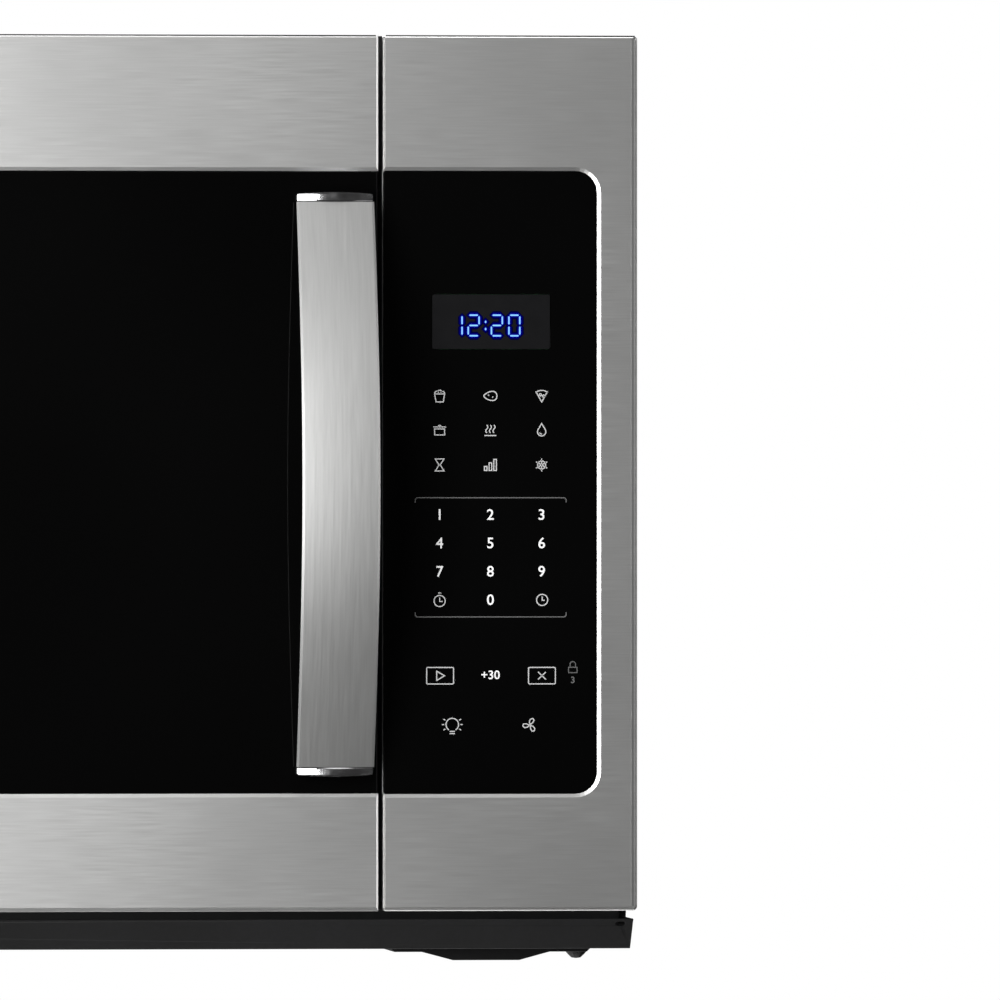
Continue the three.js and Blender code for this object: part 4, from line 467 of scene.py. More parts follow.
def loft(mesh, rings, closed_ends=True):
    """Skins a row of rings of points."""
    rows = [[mesh.verts.new(point) for point in ring] for ring in rings]
    count = len(rows[0])
    for a, b in zip(rows, rows[1:]):
        for i in range(count):
            mesh.faces.new((a[i], a[(i + 1) % count], b[(i + 1) % count], b[i]))
    if closed_ends:
        mesh.faces.new(rows[0])
        mesh.faces.new(rows[-1])


def block(mesh, low, high):
    """A closed box from its lowest corner to its highest."""
    ring = [(low[0], low[1]), (high[0], low[1]), (high[0], high[1]), (low[0], high[1])]
    loft(mesh, [[(x, y, z) for x, y in ring] for z in (low[2], high[2])])


print("building calls:", piece_of.__name__, loft.__name__, block.__name__)

# %% [markdown]
# ## The bowed handle
# The handle is one strap of stainless, bent into a long bow and brushed along
# its length. Its edges were dressed with a file, so each carries a narrow flat
# that catches the light. The CAD strap has the same bow in a few straight
# steps, so it gives the ends and the rise, and this one has 120 steps.

# %% Handle strap
STRAP_THICK = 3 * MM
STRAP_DRESSED = 1.1 * MM
STRAP_DRESSED_DEEP = 0.6 * STRAP_DRESSED
STRAP_BACK_EDGE = 0.4 * MM
STRAP_CROWN = 0.5 * MM
STRAP_STEPS = 120

strap_low, strap_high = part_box("handle_strap")
strap_rise = strap_high.y - STRAP_THICK - strap_low.y


def strap_ring(z, face):
    """The strap's section at one height: a thin bar with a crowned face and dressed edges."""
    left, right = strap_low.x, strap_high.x
    middle, half = (left + right) / 2, (right - left) / 2 - STRAP_DRESSED
    front = []
    for i in range(9):
        share = -1 + i / 4
        front.append((middle + share * half, face + STRAP_CROWN * share * share, z))
    edge = face + STRAP_CROWN + STRAP_DRESSED_DEEP
    back, cut = face + STRAP_THICK, STRAP_BACK_EDGE
    side = [(right, edge, z), (right, back - cut, z), (right - cut, back, z)]
    return front + side + [(left + cut, back, z), (left, back - cut, z), (left, edge, z)]


strap = bmesh.new()
rings = []
for i in range(STRAP_STEPS + 1):
    share = i / STRAP_STEPS
    height = strap_low.z + share * (strap_high.z - strap_low.z)
    bow = strap_rise * math.sin(math.pi * share)
    rings.append(strap_ring(height, strap_high.y - STRAP_THICK - bow))
loft(strap, rings)
piece_of("handle_strap_brushed", strap, "door", steel_upright_painted_shade, ["handle_strap"])
print("handle: %.0f mm long, bowed %.0f mm" % ((strap_high.z - strap_low.z) / MM, strap_rise / MM))

# %% [markdown]
# Each end cap is a small zinc casting, polished bright. Seen from above its
# front is a shallow arc, so it mirrors the light on its left and the dark room
# on its right. It steps in a little from the strap, and stands on a foot that
# goes down to the door's glass.

# %% Handle caps
CAP_BULGE = 3.4 * MM
CAP_ARCH = 0.9 * MM
CAP_STEP = 0.7 * MM
CAP_ARC_STEPS = 24
CAP_SEAM = 0.3 * MM
CAP_LEVELS = ((0, 1.0), (0.12, 0.7), (0.8, 0.7), (0.94, 1.1), (1, 2.2))
FOOT_INSET = 3.6 * MM
FOOT_REACH = 9 * MM
FOOT_BEHIND = 1.2 * MM
FOOT_CLEAR = 0.2 * MM


def cap_plan(left, right, front, back):
    """The cap's outline seen from above: an arc in front, straight sides and a flat back."""
    middle, half = (left + right) / 2, (right - left) / 2
    outline = []
    for i in range(CAP_ARC_STEPS + 1):
        share = -1 + 2 * i / CAP_ARC_STEPS
        outline.append((middle + share * half, front + CAP_BULGE * share * share))
    return outline + [(right, back), (left, back)]


def end_cap(name, node, up):
    """A cap and its foot, at the strap's top end or its bottom end. Returns the cap's width."""
    low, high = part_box(node)
    mesh = bmesh.new()
    seam, far = (strap_high.z + CAP_SEAM, high.z) if up else (strap_low.z - CAP_SEAM, low.z)
    middle, half = (low.x + high.x) / 2, (high.x - low.x) / 2
    levels = []
    for share, steps_in in CAP_LEVELS:
        inset = steps_in * CAP_STEP
        ring = []
        for x, y in cap_plan(low.x + inset, high.x - inset, low.y + inset, high.y):
            sag = CAP_ARCH * ((x - middle) / half) ** 2 * share
            ring.append((x, y, seam + share * (far - seam) + (-sag if up else sag)))
        levels.append(ring)
    loft(mesh, levels)
    piece_of(name, mesh, "door", bright_casting, [node])
    foot = bmesh.new()
    inner = strap_high.z - FOOT_REACH if up else strap_low.z + FOOT_REACH
    block(foot, (low.x + FOOT_INSET, strap_high.y + FOOT_BEHIND, min(seam, inner)),
          (high.x - FOOT_INSET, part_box("door_glass")[0].y - FOOT_CLEAR, max(seam, inner)))
    piece_of(name + "_foot", foot, "door", bright_casting)
    return high.x - low.x


cap_widths = [end_cap("cap_top_polished", "handle_cap_top", True),
              end_cap("cap_bottom_polished", "handle_cap_bottom", False)]
print("caps: each", " and ".join("%.1f" % (width / MM) for width in cap_widths), "mm wide")

# %% [markdown]
# ## Marks on the touch glass
# The keys are only ink on the glass. Screen printing lays ink a few hundredths
# of a millimetre thick, so each mark is a thin ribbon, a third of it sunk in the
# glass. Their places come from the photograph: a pixel is a known size at the
# front of the unit, and the unit's right edge and mid height are known pixels.
# The keys carry plain numbers and small drawings, and no words.

# %% Pixels of the photograph to places on the glass
PIXEL = 0.4765 * MM
RIGHT_EDGE_PIXEL = 638
MID_HEIGHT_PIXEL = 492.5
INK = 0.06 * MM
LINE = 1.05 * PIXEL
SHARPEST_MITRE = 0.35
glass_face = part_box("touch_glass")[0].y
right_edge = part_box("panel_frame")[1].x


def on_glass(px, py):
    """A pixel of the photograph as x and z on the touch glass, in metres."""
    return right_edge - (RIGHT_EDGE_PIXEL - px) * PIXEL, (MID_HEIGHT_PIXEL - py) * PIXEL


def arc(cx, cy, radius, start_deg, end_deg, steps=16):
    """Points along an arc, in pixels, with angles counted anticlockwise from the right."""
    turns = [math.radians(start_deg + (end_deg - start_deg) * i / steps) for i in range(steps + 1)]
    return [(cx + radius * math.cos(t), cy - radius * math.sin(t)) for t in turns]


def ribbon(mesh, points, width=LINE, closed=False):
    """A line of ink through points given in pixels, with mitred corners."""
    path = [Vector(on_glass(*p)) for p in points]
    count = len(path)
    rings = []
    for i, here in enumerate(path):
        ahead = path[(i + 1) % count] if closed or i < count - 1 else here
        behind = path[i - 1] if closed or i else here
        one = (here - behind).normalized() if here != behind else (ahead - here).normalized()
        two = (ahead - here).normalized() if here != ahead else one
        side = Vector((-(one + two).y, (one + two).x)).normalized()
        reach = width / 2 / max(SHARPEST_MITRE, side.dot(Vector((-one.y, one.x))))
        a, b = here + side * reach, here - side * reach
        top, low = glass_face - INK, glass_face + INK / 2
        rings.append([(a.x, top, a.y), (b.x, top, b.y), (b.x, low, b.y), (a.x, low, a.y)])
    if closed:
        rings.append(rings[0])
    loft(mesh, rings, closed_ends=not closed)
    if closed:
        bmesh.ops.remove_doubles(mesh, verts=mesh.verts, dist=1e-7)


print("1 pixel = %.4f mm; the glass starts at y = %.1f mm" % (PIXEL / MM, glass_face / MM))

# %% [markdown]
# Each drawing is a few lines and arcs round a middle of its own, in pixels with
# y downwards, and is inked round the middle of its key. True means a closed line.

# %% Drawings for the cooking keys
COLUMNS = (439.5, 490.5, 542.0)
ROWS = (396.0, 430.0, 465.0)
TIMER_KEY = (439.5, 601)
CLOCK_KEY = (542.5, 600)


def ink(mesh, shapes, middle, width=LINE):
    """Inks a drawing's lines round the middle of its key."""
    for points, closed in shapes:
        ribbon(mesh, [(middle[0] + x, middle[1] + y) for x, y in points], width, closed)


def tub():
    return [([(-5, -2), (-3.6, 6), (3.6, 6), (5, -2)], True), (arc(-3, -2.6, 2, 20, 180, 8), False),
            (arc(0, -3.6, 2.2, 10, 170, 8), False), (arc(3, -2.6, 2, 0, 160, 8), False)]


def potato():
    turns = [i * math.pi / 12 for i in range(24)]
    skin = [(6.6 * math.cos(t), 4.4 * math.sin(t) + 0.8 * math.sin(2 * t)) for t in turns]
    return [(skin, True), ([(-2.5, -1), (-1.3, -0.6)], False), ([(1.6, 1.2), (2.8, 1)], False)]


def slice_of_pie():
    crust = arc(0, 4, 9.6, 124, 56, 8)
    return [([(0, 6), (-5.6, -4), *crust, (5.6, -4)], True),
            (arc(-1.4, -1.2, 1.1, 0, 330, 8), True), (arc(1.8, 0, 1.1, 0, 330, 8), True)]


def pot():
    return [([(-5, -1), (-5, 5), (5, 5), (5, -1)], True), ([(-6.4, -3), (6.4, -3)], False),
            (arc(0, -3, 1.6, 0, 180, 6), False)]


def steam():
    def wave(x):
        return [(x + 1.1 * math.sin(i * math.pi / 4), -5 + i * 1.0) for i in range(9)]
    return [(wave(-3.6), False), (wave(0), False), (wave(3.6), False), ([(-6, 5.6), (6, 5.6)], False)]


def drop():
    return [([(0, -6.4), *arc(0, 1.8, 4.2, 150, 390, 18)], True), (arc(0, 1.8, 2.2, 200, 280, 6), False)]


def hourglass():
    return [([(-4.4, -6), (4.4, -6), (0.6, 0), (4.4, 6), (-4.4, 6), (-0.6, 0)], True)]


def power_steps():
    foot, wide = 5.5, 2.6
    return [([(x, foot), (x, foot - tall), (x + wide, foot - tall), (x + wide, foot)], True)
            for x, tall in ((-6, 4), (-1.3, 7.5), (3.4, 11))]


def snow():
    star = []
    for i in range(6):
        turn = i * math.pi / 3 + math.pi / 6
        c, s = math.cos(turn), math.sin(turn)
        star.append(([(0, 0), (6.4 * c, 6.4 * s)], False))
        star.append(([(3.4 * c + 1.9 * s, 3.4 * s - 1.9 * c), (4.6 * c, 4.6 * s)], False))
        star.append(([(3.4 * c - 1.9 * s, 3.4 * s + 1.9 * c), (4.6 * c, 4.6 * s)], False))
    return star


def dial(hand_x, hand_y, button):
    """A clock's face with two hands, and a stop watch's button where it has one."""
    face = [(arc(0, 0, 5.6, 0, 345, 23), True), ([(hand_x, 0.4), (0, 0.4), (0, -hand_y)], False)]
    return face + ([([(-1.6, -8), (1.6, -8)], False)] if button else [])


marks = bmesh.new()
drawings = ((tub, potato, slice_of_pie), (pot, steam, drop), (hourglass, power_steps, snow))
for row, drawn in zip(ROWS, drawings):
    for column, drawing in zip(COLUMNS, drawn):
        ink(marks, drawing(), (column, row))
ink(marks, dial(3, 3.4, True), TIMER_KEY)
ink(marks, dial(2.6, 3.6, False), CLOCK_KEY)
print("drawings: 11 keys,", len(marks.faces), "faces of ink")

# %% [markdown]
# The number keys are type, so they come from a font as curves and are turned
# into thin solids.

# %% Number keys
DIGIT_HEIGHT = 10.6
TYPE_TO_SIZE = 1.42
TYPE_BOLD = 0.08 * MM
NUMBER_ROWS = (515.2, 543.6, 572.0, 600.4)
PLUS_THIRTY_KEY = (490.5, 675.4)
PLUS_THIRTY_HEIGHT = 8.6


def type_set(name, text, middle, height):
    """Digits as a closed thin mesh, centred on a pixel, with a height in pixels."""
    curve = bpy.data.curves.new(name, "FONT")
    curve.body = text
    curve.align_x = "CENTER"
    curve.align_y = "CENTER"
    curve.size = height * PIXEL * TYPE_TO_SIZE
    curve.extrude = INK * 0.75
    curve.offset = TYPE_BOLD
    curve.resolution_u = 3
    holder = bpy.data.objects.new(name, curve)
    bpy.context.scene.collection.objects.link(holder)
    x, z = on_glass(*middle)
    holder.location = (x, glass_face - INK / 4, z)
    holder.rotation_euler = (math.radians(90), 0, 0)
    bpy.context.view_layer.update()
    data = bpy.data.meshes.new_from_object(holder)
    data.transform(holder.matrix_world)
    bpy.data.objects.remove(holder)
    return data


numbers = bmesh.new()
for i in range(10):
    row, column = (3, 1) if i == 0 else divmod(i - 1, 3)
    middle = (COLUMNS[column], NUMBER_ROWS[row])
    numbers.from_mesh(type_set("digit", str(i), middle, DIGIT_HEIGHT))
piece_of("number_keys", numbers, "cabinet", bright_ink)

plus = bmesh.new()
plus.from_mesh(type_set("thirty", "+30", PLUS_THIRTY_KEY, PLUS_THIRTY_HEIGHT))
piece_of("plus_thirty_key", plus, "cabinet", bright_ink)
print("type: 10 numbers of %.1f mm and +30" % (DIGIT_HEIGHT * PIXEL / MM))

# %% [markdown]
# Below the numbers are the start and stop keys in their boxes, the lamp and the
# fan. They are drawn like the cooking keys, in the same ink.

# %% Start, stop, lamp and fan
START_KEY = (440.0, 675.75)
STOP_KEY = (542.3, 675.75)
LAMP_KEY = (452.2, 724.6)
FAN_KEY = (530.2, 725.2)
BOX_WIDE = 27
BOX_TALL = 16.5
BOX_CORNER = 1.2


def boxed(*lines):
    """A key's rounded box, and the lines inside it."""
    x, y = BOX_WIDE / 2 - BOX_CORNER, BOX_TALL / 2 - BOX_CORNER
    path = []
    for i, (across, down) in enumerate(((x, -y), (-x, -y), (-x, y), (x, y))):
        path += arc(across, down, BOX_CORNER, 90 * i, 90 * i + 90, 4)
    return [(path, True), *lines]


def bulb():
    drawn = [(arc(0, 0, 6.3, -58, 238, 24), False)]
    for turn in (-32, 0, 32, 148, 180, 212):
        c, s = math.cos(math.radians(turn)), math.sin(math.radians(turn))
        drawn.append(([(8.2 * c, -8.2 * s), (10.4 * c, -10.4 * s)], False))
    return drawn + [([(-2.6, down), (2.6, down)], False) for down in (6.8, 9.0)]


def fan():
    leaf = [(0.6, 0), (2.6, 2.0), (5.4, 2.4), (7.2, 0.6), (6.4, -1.4), (3.4, -1.4)]
    leaves = []
    for i in range(3):
        turn = math.radians(120 * i + 62)
        c, s = math.cos(turn), math.sin(turn)
        leaves.append(([(x * c - y * s, -x * s - y * c) for x, y in leaf], True))
    return leaves


ink(marks, boxed(([(-3.4, -4.55), (4.4, 0.05), (-3.4, 4.65)], True)), START_KEY)
ink(marks, boxed(([(-3.9, -3.75), (3.9, 3.85)], False), ([(3.9, -3.75), (-3.9, 3.85)], False)), STOP_KEY)
ink(marks, bulb(), LAMP_KEY)
ink(marks, fan(), FAN_KEY)
key_marks = piece_of("key_marks", marks, "cabinet", mark_ink)
print("all drawings:", len(key_marks.data.polygons), "faces of ink")

# %% [markdown]
# Two faint brackets hold the numbers together, and a padlock with a 3 below it
# stands for the child lock. They are printed in a darker ink with a finer line.

# %% Brackets and padlock
BRACKET_LEFT, BRACKET_RIGHT = 415, 566.6
BRACKET_TOP, BRACKET_BOTTOM = 497.8, 617
BRACKET_TIP = 4.6
BRACKET_CORNER = 1.6
PADLOCK = (573.3, 670.1)
PADLOCK_LINE = 0.9 * PIXEL
HOLD_DIGIT = (573.4, 680.4)
HOLD_HEIGHT = 6.4


def bracket(edge, inward):
    """One bracket: a long line whose ends turn towards the numbers."""
    near, tip = edge + inward * BRACKET_CORNER, edge + inward * BRACKET_TIP
    left, right = BRACKET_LEFT + BRACKET_CORNER, BRACKET_RIGHT - BRACKET_CORNER
    return [(BRACKET_LEFT, tip), (BRACKET_LEFT, near), (left, edge),
            (right, edge), (BRACKET_RIGHT, near), (BRACKET_RIGHT, tip)]


def padlock():
    return [([(-4.3, -2.7), (4.3, -2.7), (4.3, 2.7), (-4.3, 2.7)], True),
            ([(-2.7, -3.1), *arc(0, -5.7, 2.7, 180, 0, 8), (2.7, -3.1)], False)]


faint = bmesh.new()
ribbon(faint, bracket(BRACKET_TOP, 1), PIXEL)
ribbon(faint, bracket(BRACKET_BOTTOM, -1), PIXEL)
ink(faint, padlock(), PADLOCK, PADLOCK_LINE)
faint.from_mesh(type_set("hold", "3", HOLD_DIGIT, HOLD_HEIGHT))
faint_marks = piece_of("faint_marks", faint, "cabinet", faint_ink)
print("brackets and padlock:", len(faint_marks.data.polygons), "faces of ink")

# %% [markdown]
# ## The display
# Behind the smoked window is a vacuum fluorescent clock: each digit is seven
# thin bars of phosphor that glow pale blue, with a deep blue halo where their
# light spreads in the plastic. The bars are solids, and the halo is made of
# three wider, thinner copies behind them, each dimmer than the one in front.

# %% Clock digits
SEGMENTS = {"0": "abcdef", "1": "bc", "2": "abged"}
DIGIT_WIDE = 10.9
DIGIT_TALL = 20.6
BAR = 1.5
BAR_GAP = 0.62 * BAR
BAR_SINK = 0.01 * MM
DISPLAY_MIDDLE = 325.5
CLOCK = (("1", 456.6), ("2", 473.7), ("2", 497.0), ("0", 514.6))
COLON = 485.7
COLON_RISE = 3.6
COLON_HALF = 2.3


def glow(name, colour, power):
    """Phosphor: it gives its own light, evenly but for a slight mottle."""
    material, tree, shader, place = start(name, "#010104", 0, 0.6, Specular_IOR_Level=0.0)
    mottle = noise(tree, place, 900, 1)
    shader.inputs["Emission Color"].default_value = linear(colour)
    tree.links.new(remap(tree, mottle, power * 0.9, power * 1.1), shader.inputs["Emission Strength"])
    return material


def bar_ends(letter, x, y):
    """Where one of the seven bars starts and stops, in pixels, round a digit's middle."""
    w, h = DIGIT_WIDE / 2, DIGIT_TALL / 2
    x0, y0, x1, y1 = {"a": (-w, -h, w, -h), "g": (-w, 0, w, 0), "d": (-w, h, w, h),
                      "f": (-w, -h, -w, 0), "b": (w, -h, w, 0), "e": (-w, 0, -w, h),
                      "c": (w, 0, w, h)}[letter]
    return Vector((x + x0, y + y0)), Vector((x + x1, y + y1))


def clock_layer(name, spread, depth, material):
    """All lit bars of the clock, grown by spread pixels, at a depth in front of the window."""
    mesh = bmesh.new()
    bars = [bar_ends(letter, x, DISPLAY_MIDDLE) for digit, x in CLOCK for letter in SEGMENTS[digit]]
    for y in (DISPLAY_MIDDLE - COLON_RISE, DISPLAY_MIDDLE + COLON_RISE):
        bars.append((Vector((COLON, y - COLON_HALF)), Vector((COLON, y + COLON_HALF))))
    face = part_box("display_lens")[0].y
    levels = (face - depth - INK / 4, face + BAR_SINK)
    for one, two in bars:
        along = (two - one).normalized()
        across = Vector((-along.y, along.x))
        one, two = one + along * (BAR_GAP - spread), two - along * (BAR_GAP - spread)
        half, tip = BAR / 2 + spread, min(BAR / 2 + spread, (two - one).length / 2)
        outline = [one, one + along * tip + across * half, two - along * tip + across * half, two,
                   two - along * tip - across * half, one + along * tip - across * half]
        places = [on_glass(*p) for p in outline]
        loft(mesh, [[(x, y, z) for x, z in places] for y in levels])
    piece_of(name, mesh, "cabinet", material)


clock_layer("clock_bars", 0.0, 0.05 * MM, glow("blue_phosphor_core", "#86C6FF", 1.25))
clock_layer("clock_halo_near", 0.9, 0.035 * MM, glow("blue_phosphor_halo", "#0008FF", 0.3))
clock_layer("clock_halo_middle", 2.0, 0.02 * MM, glow("blue_phosphor_rim", "#0004FF", 0.14))
clock_layer("clock_halo_far", 3.3, 0.005 * MM, glow("blue_phosphor_fade", "#0C0CFF", 0.035))
print("clock: %d digits, %.1f mm tall" % (len(CLOCK), DIGIT_TALL * PIXEL / MM))

# %% [markdown]
# ## Grease filters
# A grease filter is expanded aluminium: sheet that was slit and pulled open
# until every slit became a diamond. Each row of the mesh is one zigzag strand
# that touches the next row at every corner. The diamonds are 9 by 5 mm, as real
# ones are, and they fill the openings of the CAD frame.

# %% Expanded metal
DIAMOND_LONG = 9.0 * MM
DIAMOND_SHORT = 5.0 * MM
STRAND = 0.9 * MM
FILTER_RIM = 8.0 * MM
MESH_DEPTH = 4.6 * MM


def expanded_metal(name, node, body):
    """A sheet of diamonds inside a filter's frame: one zigzag strand for each row."""
    low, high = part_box(node)
    x0, x1 = low.x + FILTER_RIM, high.x - FILTER_RIM
    y0, y1 = low.y + FILTER_RIM, high.y - FILTER_RIM
    z0, z1, half = high.z - MESH_DEPTH, high.z - MESH_DEPTH + STRAND, STRAND / 2
    rows = int((y1 - y0) / (DIAMOND_SHORT / 2)) - 1
    steps = int((x1 - x0) / (DIAMOND_LONG / 2))
    mesh = bmesh.new()
    for row in range(rows):
        rings = []
        for i in range(steps + 1):
            x = x0 + i * (x1 - x0) / steps
            y = y0 + (row + 1) * DIAMOND_SHORT / 2 + DIAMOND_SHORT / 4 * (-1) ** (i + row)
            rings.append([(x, y - half, z0), (x, y + half, z0), (x, y + half, z1), (x, y - half, z1)])
        loft(mesh, rings)
    piece_of(name, mesh, body, rolled_aluminium)
    return rows, steps


left_rows = expanded_metal("filter_mesh_left", "grease_filter_left", "filter_left")
right_rows = expanded_metal("filter_mesh_right", "grease_filter_right", "filter_right")
print("filter meshes: %d strands of %d bends, and %d of %d" % (*left_rows, *right_rows))

# %% [markdown]
# ## Screws
# The casing is held by pan headed screws with a cross recess. A head is rings
# of 24 points: a low dome, then the same ring drawn in to a plus shape and sunk
# to make the recess. They sit on the roof, the base, the sides and the front
# plate behind the door, up to three tenths of a millimetre into the sheet.

# %% Screw heads
HEAD_POINTS = 24
DOME = ((1.0, -0.2), (1.0, 0.25), (0.9, 0.7), (0.72, 1.0))
RECESS = ((1.0, 0.97), (0.9, 0.2))
RECESS_ARM = 0.52
RECESS_WIDE = 0.16
SMALL_HEAD = 3.4
FILTER_BELOW_PAN = 3.5
BASE_SCREWS = ((-362, -18), (362, -18), (0, -30), (0, -220), (-362, -225), (362, -225))


def plus_reach(turn, arm, width):
    """How far a plus shape reaches from its middle at an angle."""
    off = abs((turn + math.pi / 4) % (math.pi / 2) - math.pi / 4)
    return arm / math.cos(off) if math.tan(off) < width / arm else width / math.sin(off)


def screw_head(mesh, place, out, radius, tall):
    """One pan head on a flat sheet, facing along out."""
    out = Vector(out)
    u = out.orthogonal().normalized()
    v = out.cross(u)
    turns = [2 * math.pi * i / HEAD_POINTS for i in range(HEAD_POINTS)]
    plus = [plus_reach(t, radius * RECESS_ARM, radius * RECESS_WIDE) for t in turns]
    levels = [([radius * share] * HEAD_POINTS, tall * lift) for share, lift in DOME]
    levels += [([reach * share for reach in plus], tall * lift) for share, lift in RECESS]
    rings = []
    for reaches, lift in levels:
        rings.append([Vector(place) + out * lift + u * (r * math.cos(t)) + v * (r * math.sin(t))
                      for r, t in zip(reaches, turns)])
    loft(mesh, rings)


def screws(name, body, places, out, radius=3.7, tall=1.5):
    """Screw heads at places in millimetres, all facing one way, as one piece."""
    mesh = bmesh.new()
    for place in places:
        screw_head(mesh, Vector(place) * MM, out, radius * MM, tall * MM)
    piece_of(name, mesh, body, nickel_screw)
    return len(places)


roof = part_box("outer_cabinet")[1].z / MM
side_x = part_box("outer_cabinet")[1].x / MM
pan_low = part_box("grease_filter_left")[0].z / MM + FILTER_BELOW_PAN
plate_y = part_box("front_plate")[0].y / MM
roof_places = [(x, y, roof) for x in (-362, 362) for y in (-16, -180, -300)]
base_places = [(x, y, pan_low) for x, y in BASE_SCREWS]
plate_places = [(x, plate_y, z) for x in (-250, -66, 118) for z in (-172, 180)]
count = screws("roof_screws", "cabinet", roof_places, (0, 0, 1))
count += screws("base_screws", "cabinet", base_places, (0, 0, -1))
for side, word in ((-1, "left"), (1, "right")):
    places = [(side * side_x, -14, z) for z in (-150, 10, 170)]
    count += screws("side_screws_" + word, "cabinet", places, (side, 0, 0), SMALL_HEAD, 0.8)
count += screws("plate_screws", "cabinet", plate_places, (0, -1, 0), SMALL_HEAD, 1.3)
print("screws:", count)

# %% [markdown]
# ## Rolled edge of the panel
# The panel's right edge isn't cut but rolled over a former, with a radius of
# about 3 mm. The CAD solid has a flat chamfer there, so a thin skin with the
# round profile lies on it and gives the edge a run of greys. The tops of both
# fronts end in a dark line, where the folded sheet turns away from the light:
# a thin dark strip of painted shade lies just behind each top edge.

# %% Rolled edge and strips of painted shade on top
ROLL = 2.9 * MM
ROLL_STEPS = 10
ROLL_PROUD = 0.12 * MM
ROLL_DEEP = 1.5 * MM
ROLL_BACK = 2.2 * MM
ROLL_TRIM = {"bottom": 2.2 * MM, "top": 1.3 * MM}
SHADE_STRIP_TALL = 0.55 * MM
SHADE_STRIP_INSET = 1.2 * MM
SHADE_STRIP_FRONT, SHADE_STRIP_BACK = 0.35 * MM, 1.4 * MM


def rolled_edge():
    """A skin over the panel's right edge: a quarter round in front, flat behind."""
    low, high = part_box("panel_frame")
    face = low.y - ROLL_PROUD
    plan = []
    for i in range(ROLL_STEPS + 1):
        turn = math.pi / 2 * i / ROLL_STEPS
        plan.append((high.x - ROLL + ROLL * math.sin(turn), face + ROLL_DEEP * (1 - math.cos(turn))))
    plan += [(high.x, face + ROLL_BACK), (high.x - ROLL, face + ROLL_BACK)]
    ends = (low.z + ROLL_TRIM["bottom"], high.z - ROLL_TRIM["top"])
    mesh = bmesh.new()
    loft(mesh, [[(x, y, z) for x, y in plan] for z in ends])
    return piece_of("panel_rolled_edge", mesh, "cabinet", steel_across)


def top_seam(name, node, body):
    """A dark strip of painted shade along the top of a front, just behind its face."""
    low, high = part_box(node)
    mesh = bmesh.new()
    block(mesh, (low.x + SHADE_STRIP_INSET, low.y + SHADE_STRIP_FRONT, high.z - SHADE_STRIP_TALL),
          (high.x - SHADE_STRIP_INSET, low.y + SHADE_STRIP_BACK, high.z))
    return piece_of(name, mesh, body, edge_shade_paint)


edge_pieces = [rolled_edge(), top_seam("door_top_painted_shade", "door_band_top", "door"),
               top_seam("panel_top_painted_shade", "panel_frame", "cabinet")]
print("edges:", ", ".join(piece.name for piece in edge_pieces))

# %% [markdown]
# ## Behind the door
# With the door open, the slot between the front plate and the base's lip would
# show the inside of the base, so a black baffle closes it. A small black tab on
# the panel's side fills the top of the gap beside the door with painted shade,
# where daylight would show past the rounded corners.

# %% Baffle and tab of painted shade in the gap
BAFFLE_INSET = 2 * MM
BAFFLE_FRONT, BAFFLE_BACK = 0.2 * MM, 1 * MM
BAFFLE_ABOVE_BASE = 8 * MM
BAFFLE_LAP = 6 * MM
TAB_OUT, TAB_IN = 1.4 * MM, 2.6 * MM
TAB_FRONT, TAB_BACK = 8 * MM, 14 * MM
TAB_TALL = 12 * MM
TAB_BELOW_TOP = 0.3 * MM


def baffle():
    """A thin upright sheet behind the front plate's bottom edge, down to the base."""
    low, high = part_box("front_plate")
    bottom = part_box("base_pan")[0].z + BAFFLE_ABOVE_BASE
    mesh = bmesh.new()
    block(mesh, (low.x + BAFFLE_INSET, high.y + BAFFLE_FRONT, bottom),
          (high.x - BAFFLE_INSET, high.y + BAFFLE_BACK, low.z + BAFFLE_LAP))
    return piece_of("base_baffle", mesh, "cabinet", black_abs)


def gap_tab():
    """A black tab of painted shade on the panel's side that fills the top of the gap and stays clear of the
    door.
    """
    low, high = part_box("panel_frame")
    mesh = bmesh.new()
    block(mesh, (low.x - TAB_OUT, low.y + TAB_FRONT, high.z - TAB_TALL),
          (low.x + TAB_IN, low.y + TAB_BACK, high.z - TAB_BELOW_TOP))
    return piece_of("gap_tab", mesh, "cabinet", black_abs)


print("behind the door:", baffle().name, "and", gap_tab().name)

# %% [markdown]
# ## Camera, floor and light
# The photograph was taken from far away with a long lens, level with the middle
# of the unit and a few degrees to its left: it shows a sliver of the handle's
# left side and the panels keep their edges parallel. One pixel is 0.4765 mm at
# the front, which fixes how long the lens is for its distance.

# %% Camera
PICTURE = 1000
PICTURE_MIDDLE = Vector((0.3142, -0.394, -0.0036))
VIEW_LEFT = math.radians(5.5)
DISTANCE = 8.0
SENSOR = 36

camera = bpy.data.objects.new("camera", bpy.data.cameras.new("camera"))
bpy.context.scene.collection.objects.link(camera)
toward = Vector((math.sin(VIEW_LEFT), math.cos(VIEW_LEFT), 0))
camera.location = PICTURE_MIDDLE - toward * DISTANCE
camera.rotation_euler = toward.to_track_quat("-Z", "Y").to_euler()
camera.data.sensor_width = SENSOR
camera.data.lens = SENSOR * DISTANCE / (PICTURE * PIXEL)
camera.data.clip_end = 100
bpy.context.scene.camera = camera
print("lens: %.0f mm" % camera.data.lens)

# %% [markdown]
# A studio hangs large soft boxes round the thing. Steel shows only what it
# mirrors, so one tall box stands to the left, just outside what the glass
# mirrors in the photograph's view: the sheet is bright on its left and falls
# off to the right, while the glass stays black. A narrow strip far to the right
# lifts the right edges a little. Boxes above, below, behind, high in front and
# to the right keep the other sides readable.

# %% Floor and lights


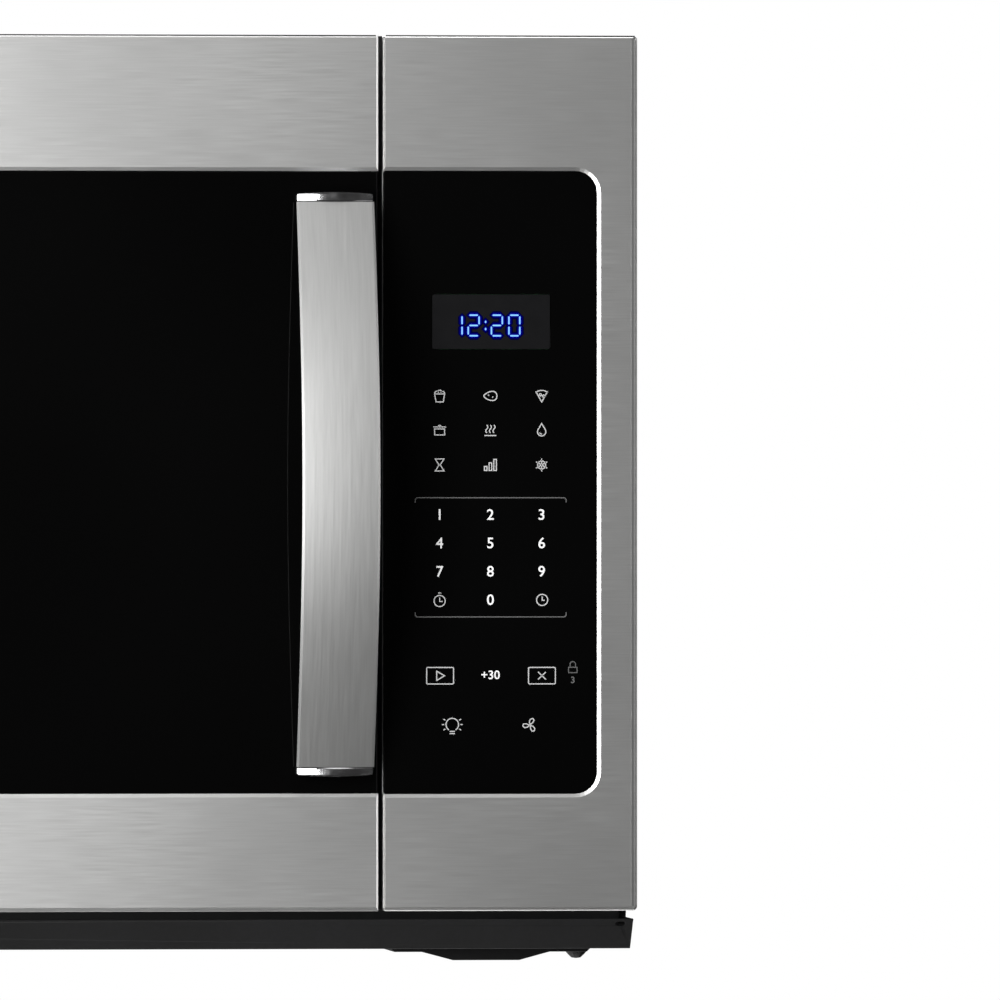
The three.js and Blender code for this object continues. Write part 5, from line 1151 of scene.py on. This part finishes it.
def soft_box(name, place, aim, width, height, watts):
    """A rectangular area light that faces a point."""
    light = bpy.data.lights.new(name, "AREA")
    light.shape = "RECTANGLE"
    light.size = width
    light.size_y = height
    light.energy = watts
    lamp = bpy.data.objects.new(name, light)
    bpy.context.scene.collection.objects.link(lamp)
    lamp.location = place
    lamp.rotation_euler = (Vector(aim) - Vector(place)).to_track_quat("-Z", "Y").to_euler()


def pale_floor(size, height):
    """A small pale floor under the unit, which is not part of it."""
    mesh = bpy.data.meshes.new("floor")
    half = size / 2
    corners = [(-half, -half, height), (half, -half, height), (half, half, height), (-half, half, height)]
    mesh.from_pydata(corners, [], [(0, 1, 2, 3)])
    floor = bpy.data.objects.new("floor", mesh)
    bpy.context.scene.collection.objects.link(floor)
    material, tree, shader, place = start("pale_studio_floor", "#EDEDEC", 0, 0.7)
    tree.links.new(tones(tree, noise(tree, place, 6, 2), "#E9E9E8", "#F2F2F1"), shader.inputs["Base Color"])
    surface(floor, material)
    floor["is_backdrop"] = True


FLOOR_SIZE = 1.5
FLOOR_HEIGHT = -1.1
FRONT = (0.2, -0.394, 0.0)
MIDDLE = (0, -0.2, 0)
LIGHTS = {
    "key_left": ((-0.58, -1.6, 0.09), FRONT, 0.8, 1.35, 42),
    "fill_high": ((0.5, -2.0, 1.1), FRONT, 1.2, 0.5, 3),
    "fill_right": ((2.3, -1.2, 0.3), FRONT, 1.0, 1.6, 3),
    "edge_right": ((2.1, -1.05, 0.1), FRONT, 0.25, 1.7, 9),
    "overhead": ((0.1, -0.4, 2.0), MIDDLE, 1.6, 1.0, 40),
    "from_below": ((0.0, 0.1, -0.95), MIDDLE, 1.2, 0.8, 5),
    "behind": ((-0.7, 2.0, 0.9), (0, 0, 0), 1.8, 1.5, 60),
}

pale_floor(FLOOR_SIZE, FLOOR_HEIGHT)
for name, settings in LIGHTS.items():
    soft_box(name, *settings)
print("lights:", ", ".join(LIGHTS))

# %% [markdown]
# The backdrop is white to the camera, as in the photograph, but it lights the
# unit only faintly. Otherwise the steel and the glass would mirror white.

# %% Backdrop
BACKDROP_LIGHT = 0.035

world = bpy.data.worlds.new("studio")
bpy.context.scene.world = world
world.use_nodes = True
air = world.node_tree
seen = put(air, "ShaderNodeLightPath").outputs["Is Camera Ray"]
air.links.new(remap(air, seen, BACKDROP_LIGHT, 1.0), air.nodes["Background"].inputs["Strength"])
air.nodes["Background"].inputs["Color"].default_value = (1, 1, 1, 1)
bpy.context.scene.view_settings.view_transform = "Standard"
bpy.context.scene.view_settings.look = "None"
print("backdrop: lights the unit at", BACKDROP_LIGHT, "of its brightness")

# %% [markdown]
# ## Size
# The looks must not change how big the unit is, so the growth of the unit's box
# over the CAD box is printed before the script ends.

# %% Size
look_low, look_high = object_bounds()
growth = (look_high - look_low) - (cad_high - cad_low)
print("size grew by (mm):", [round(length / MM, 2) for length in growth])
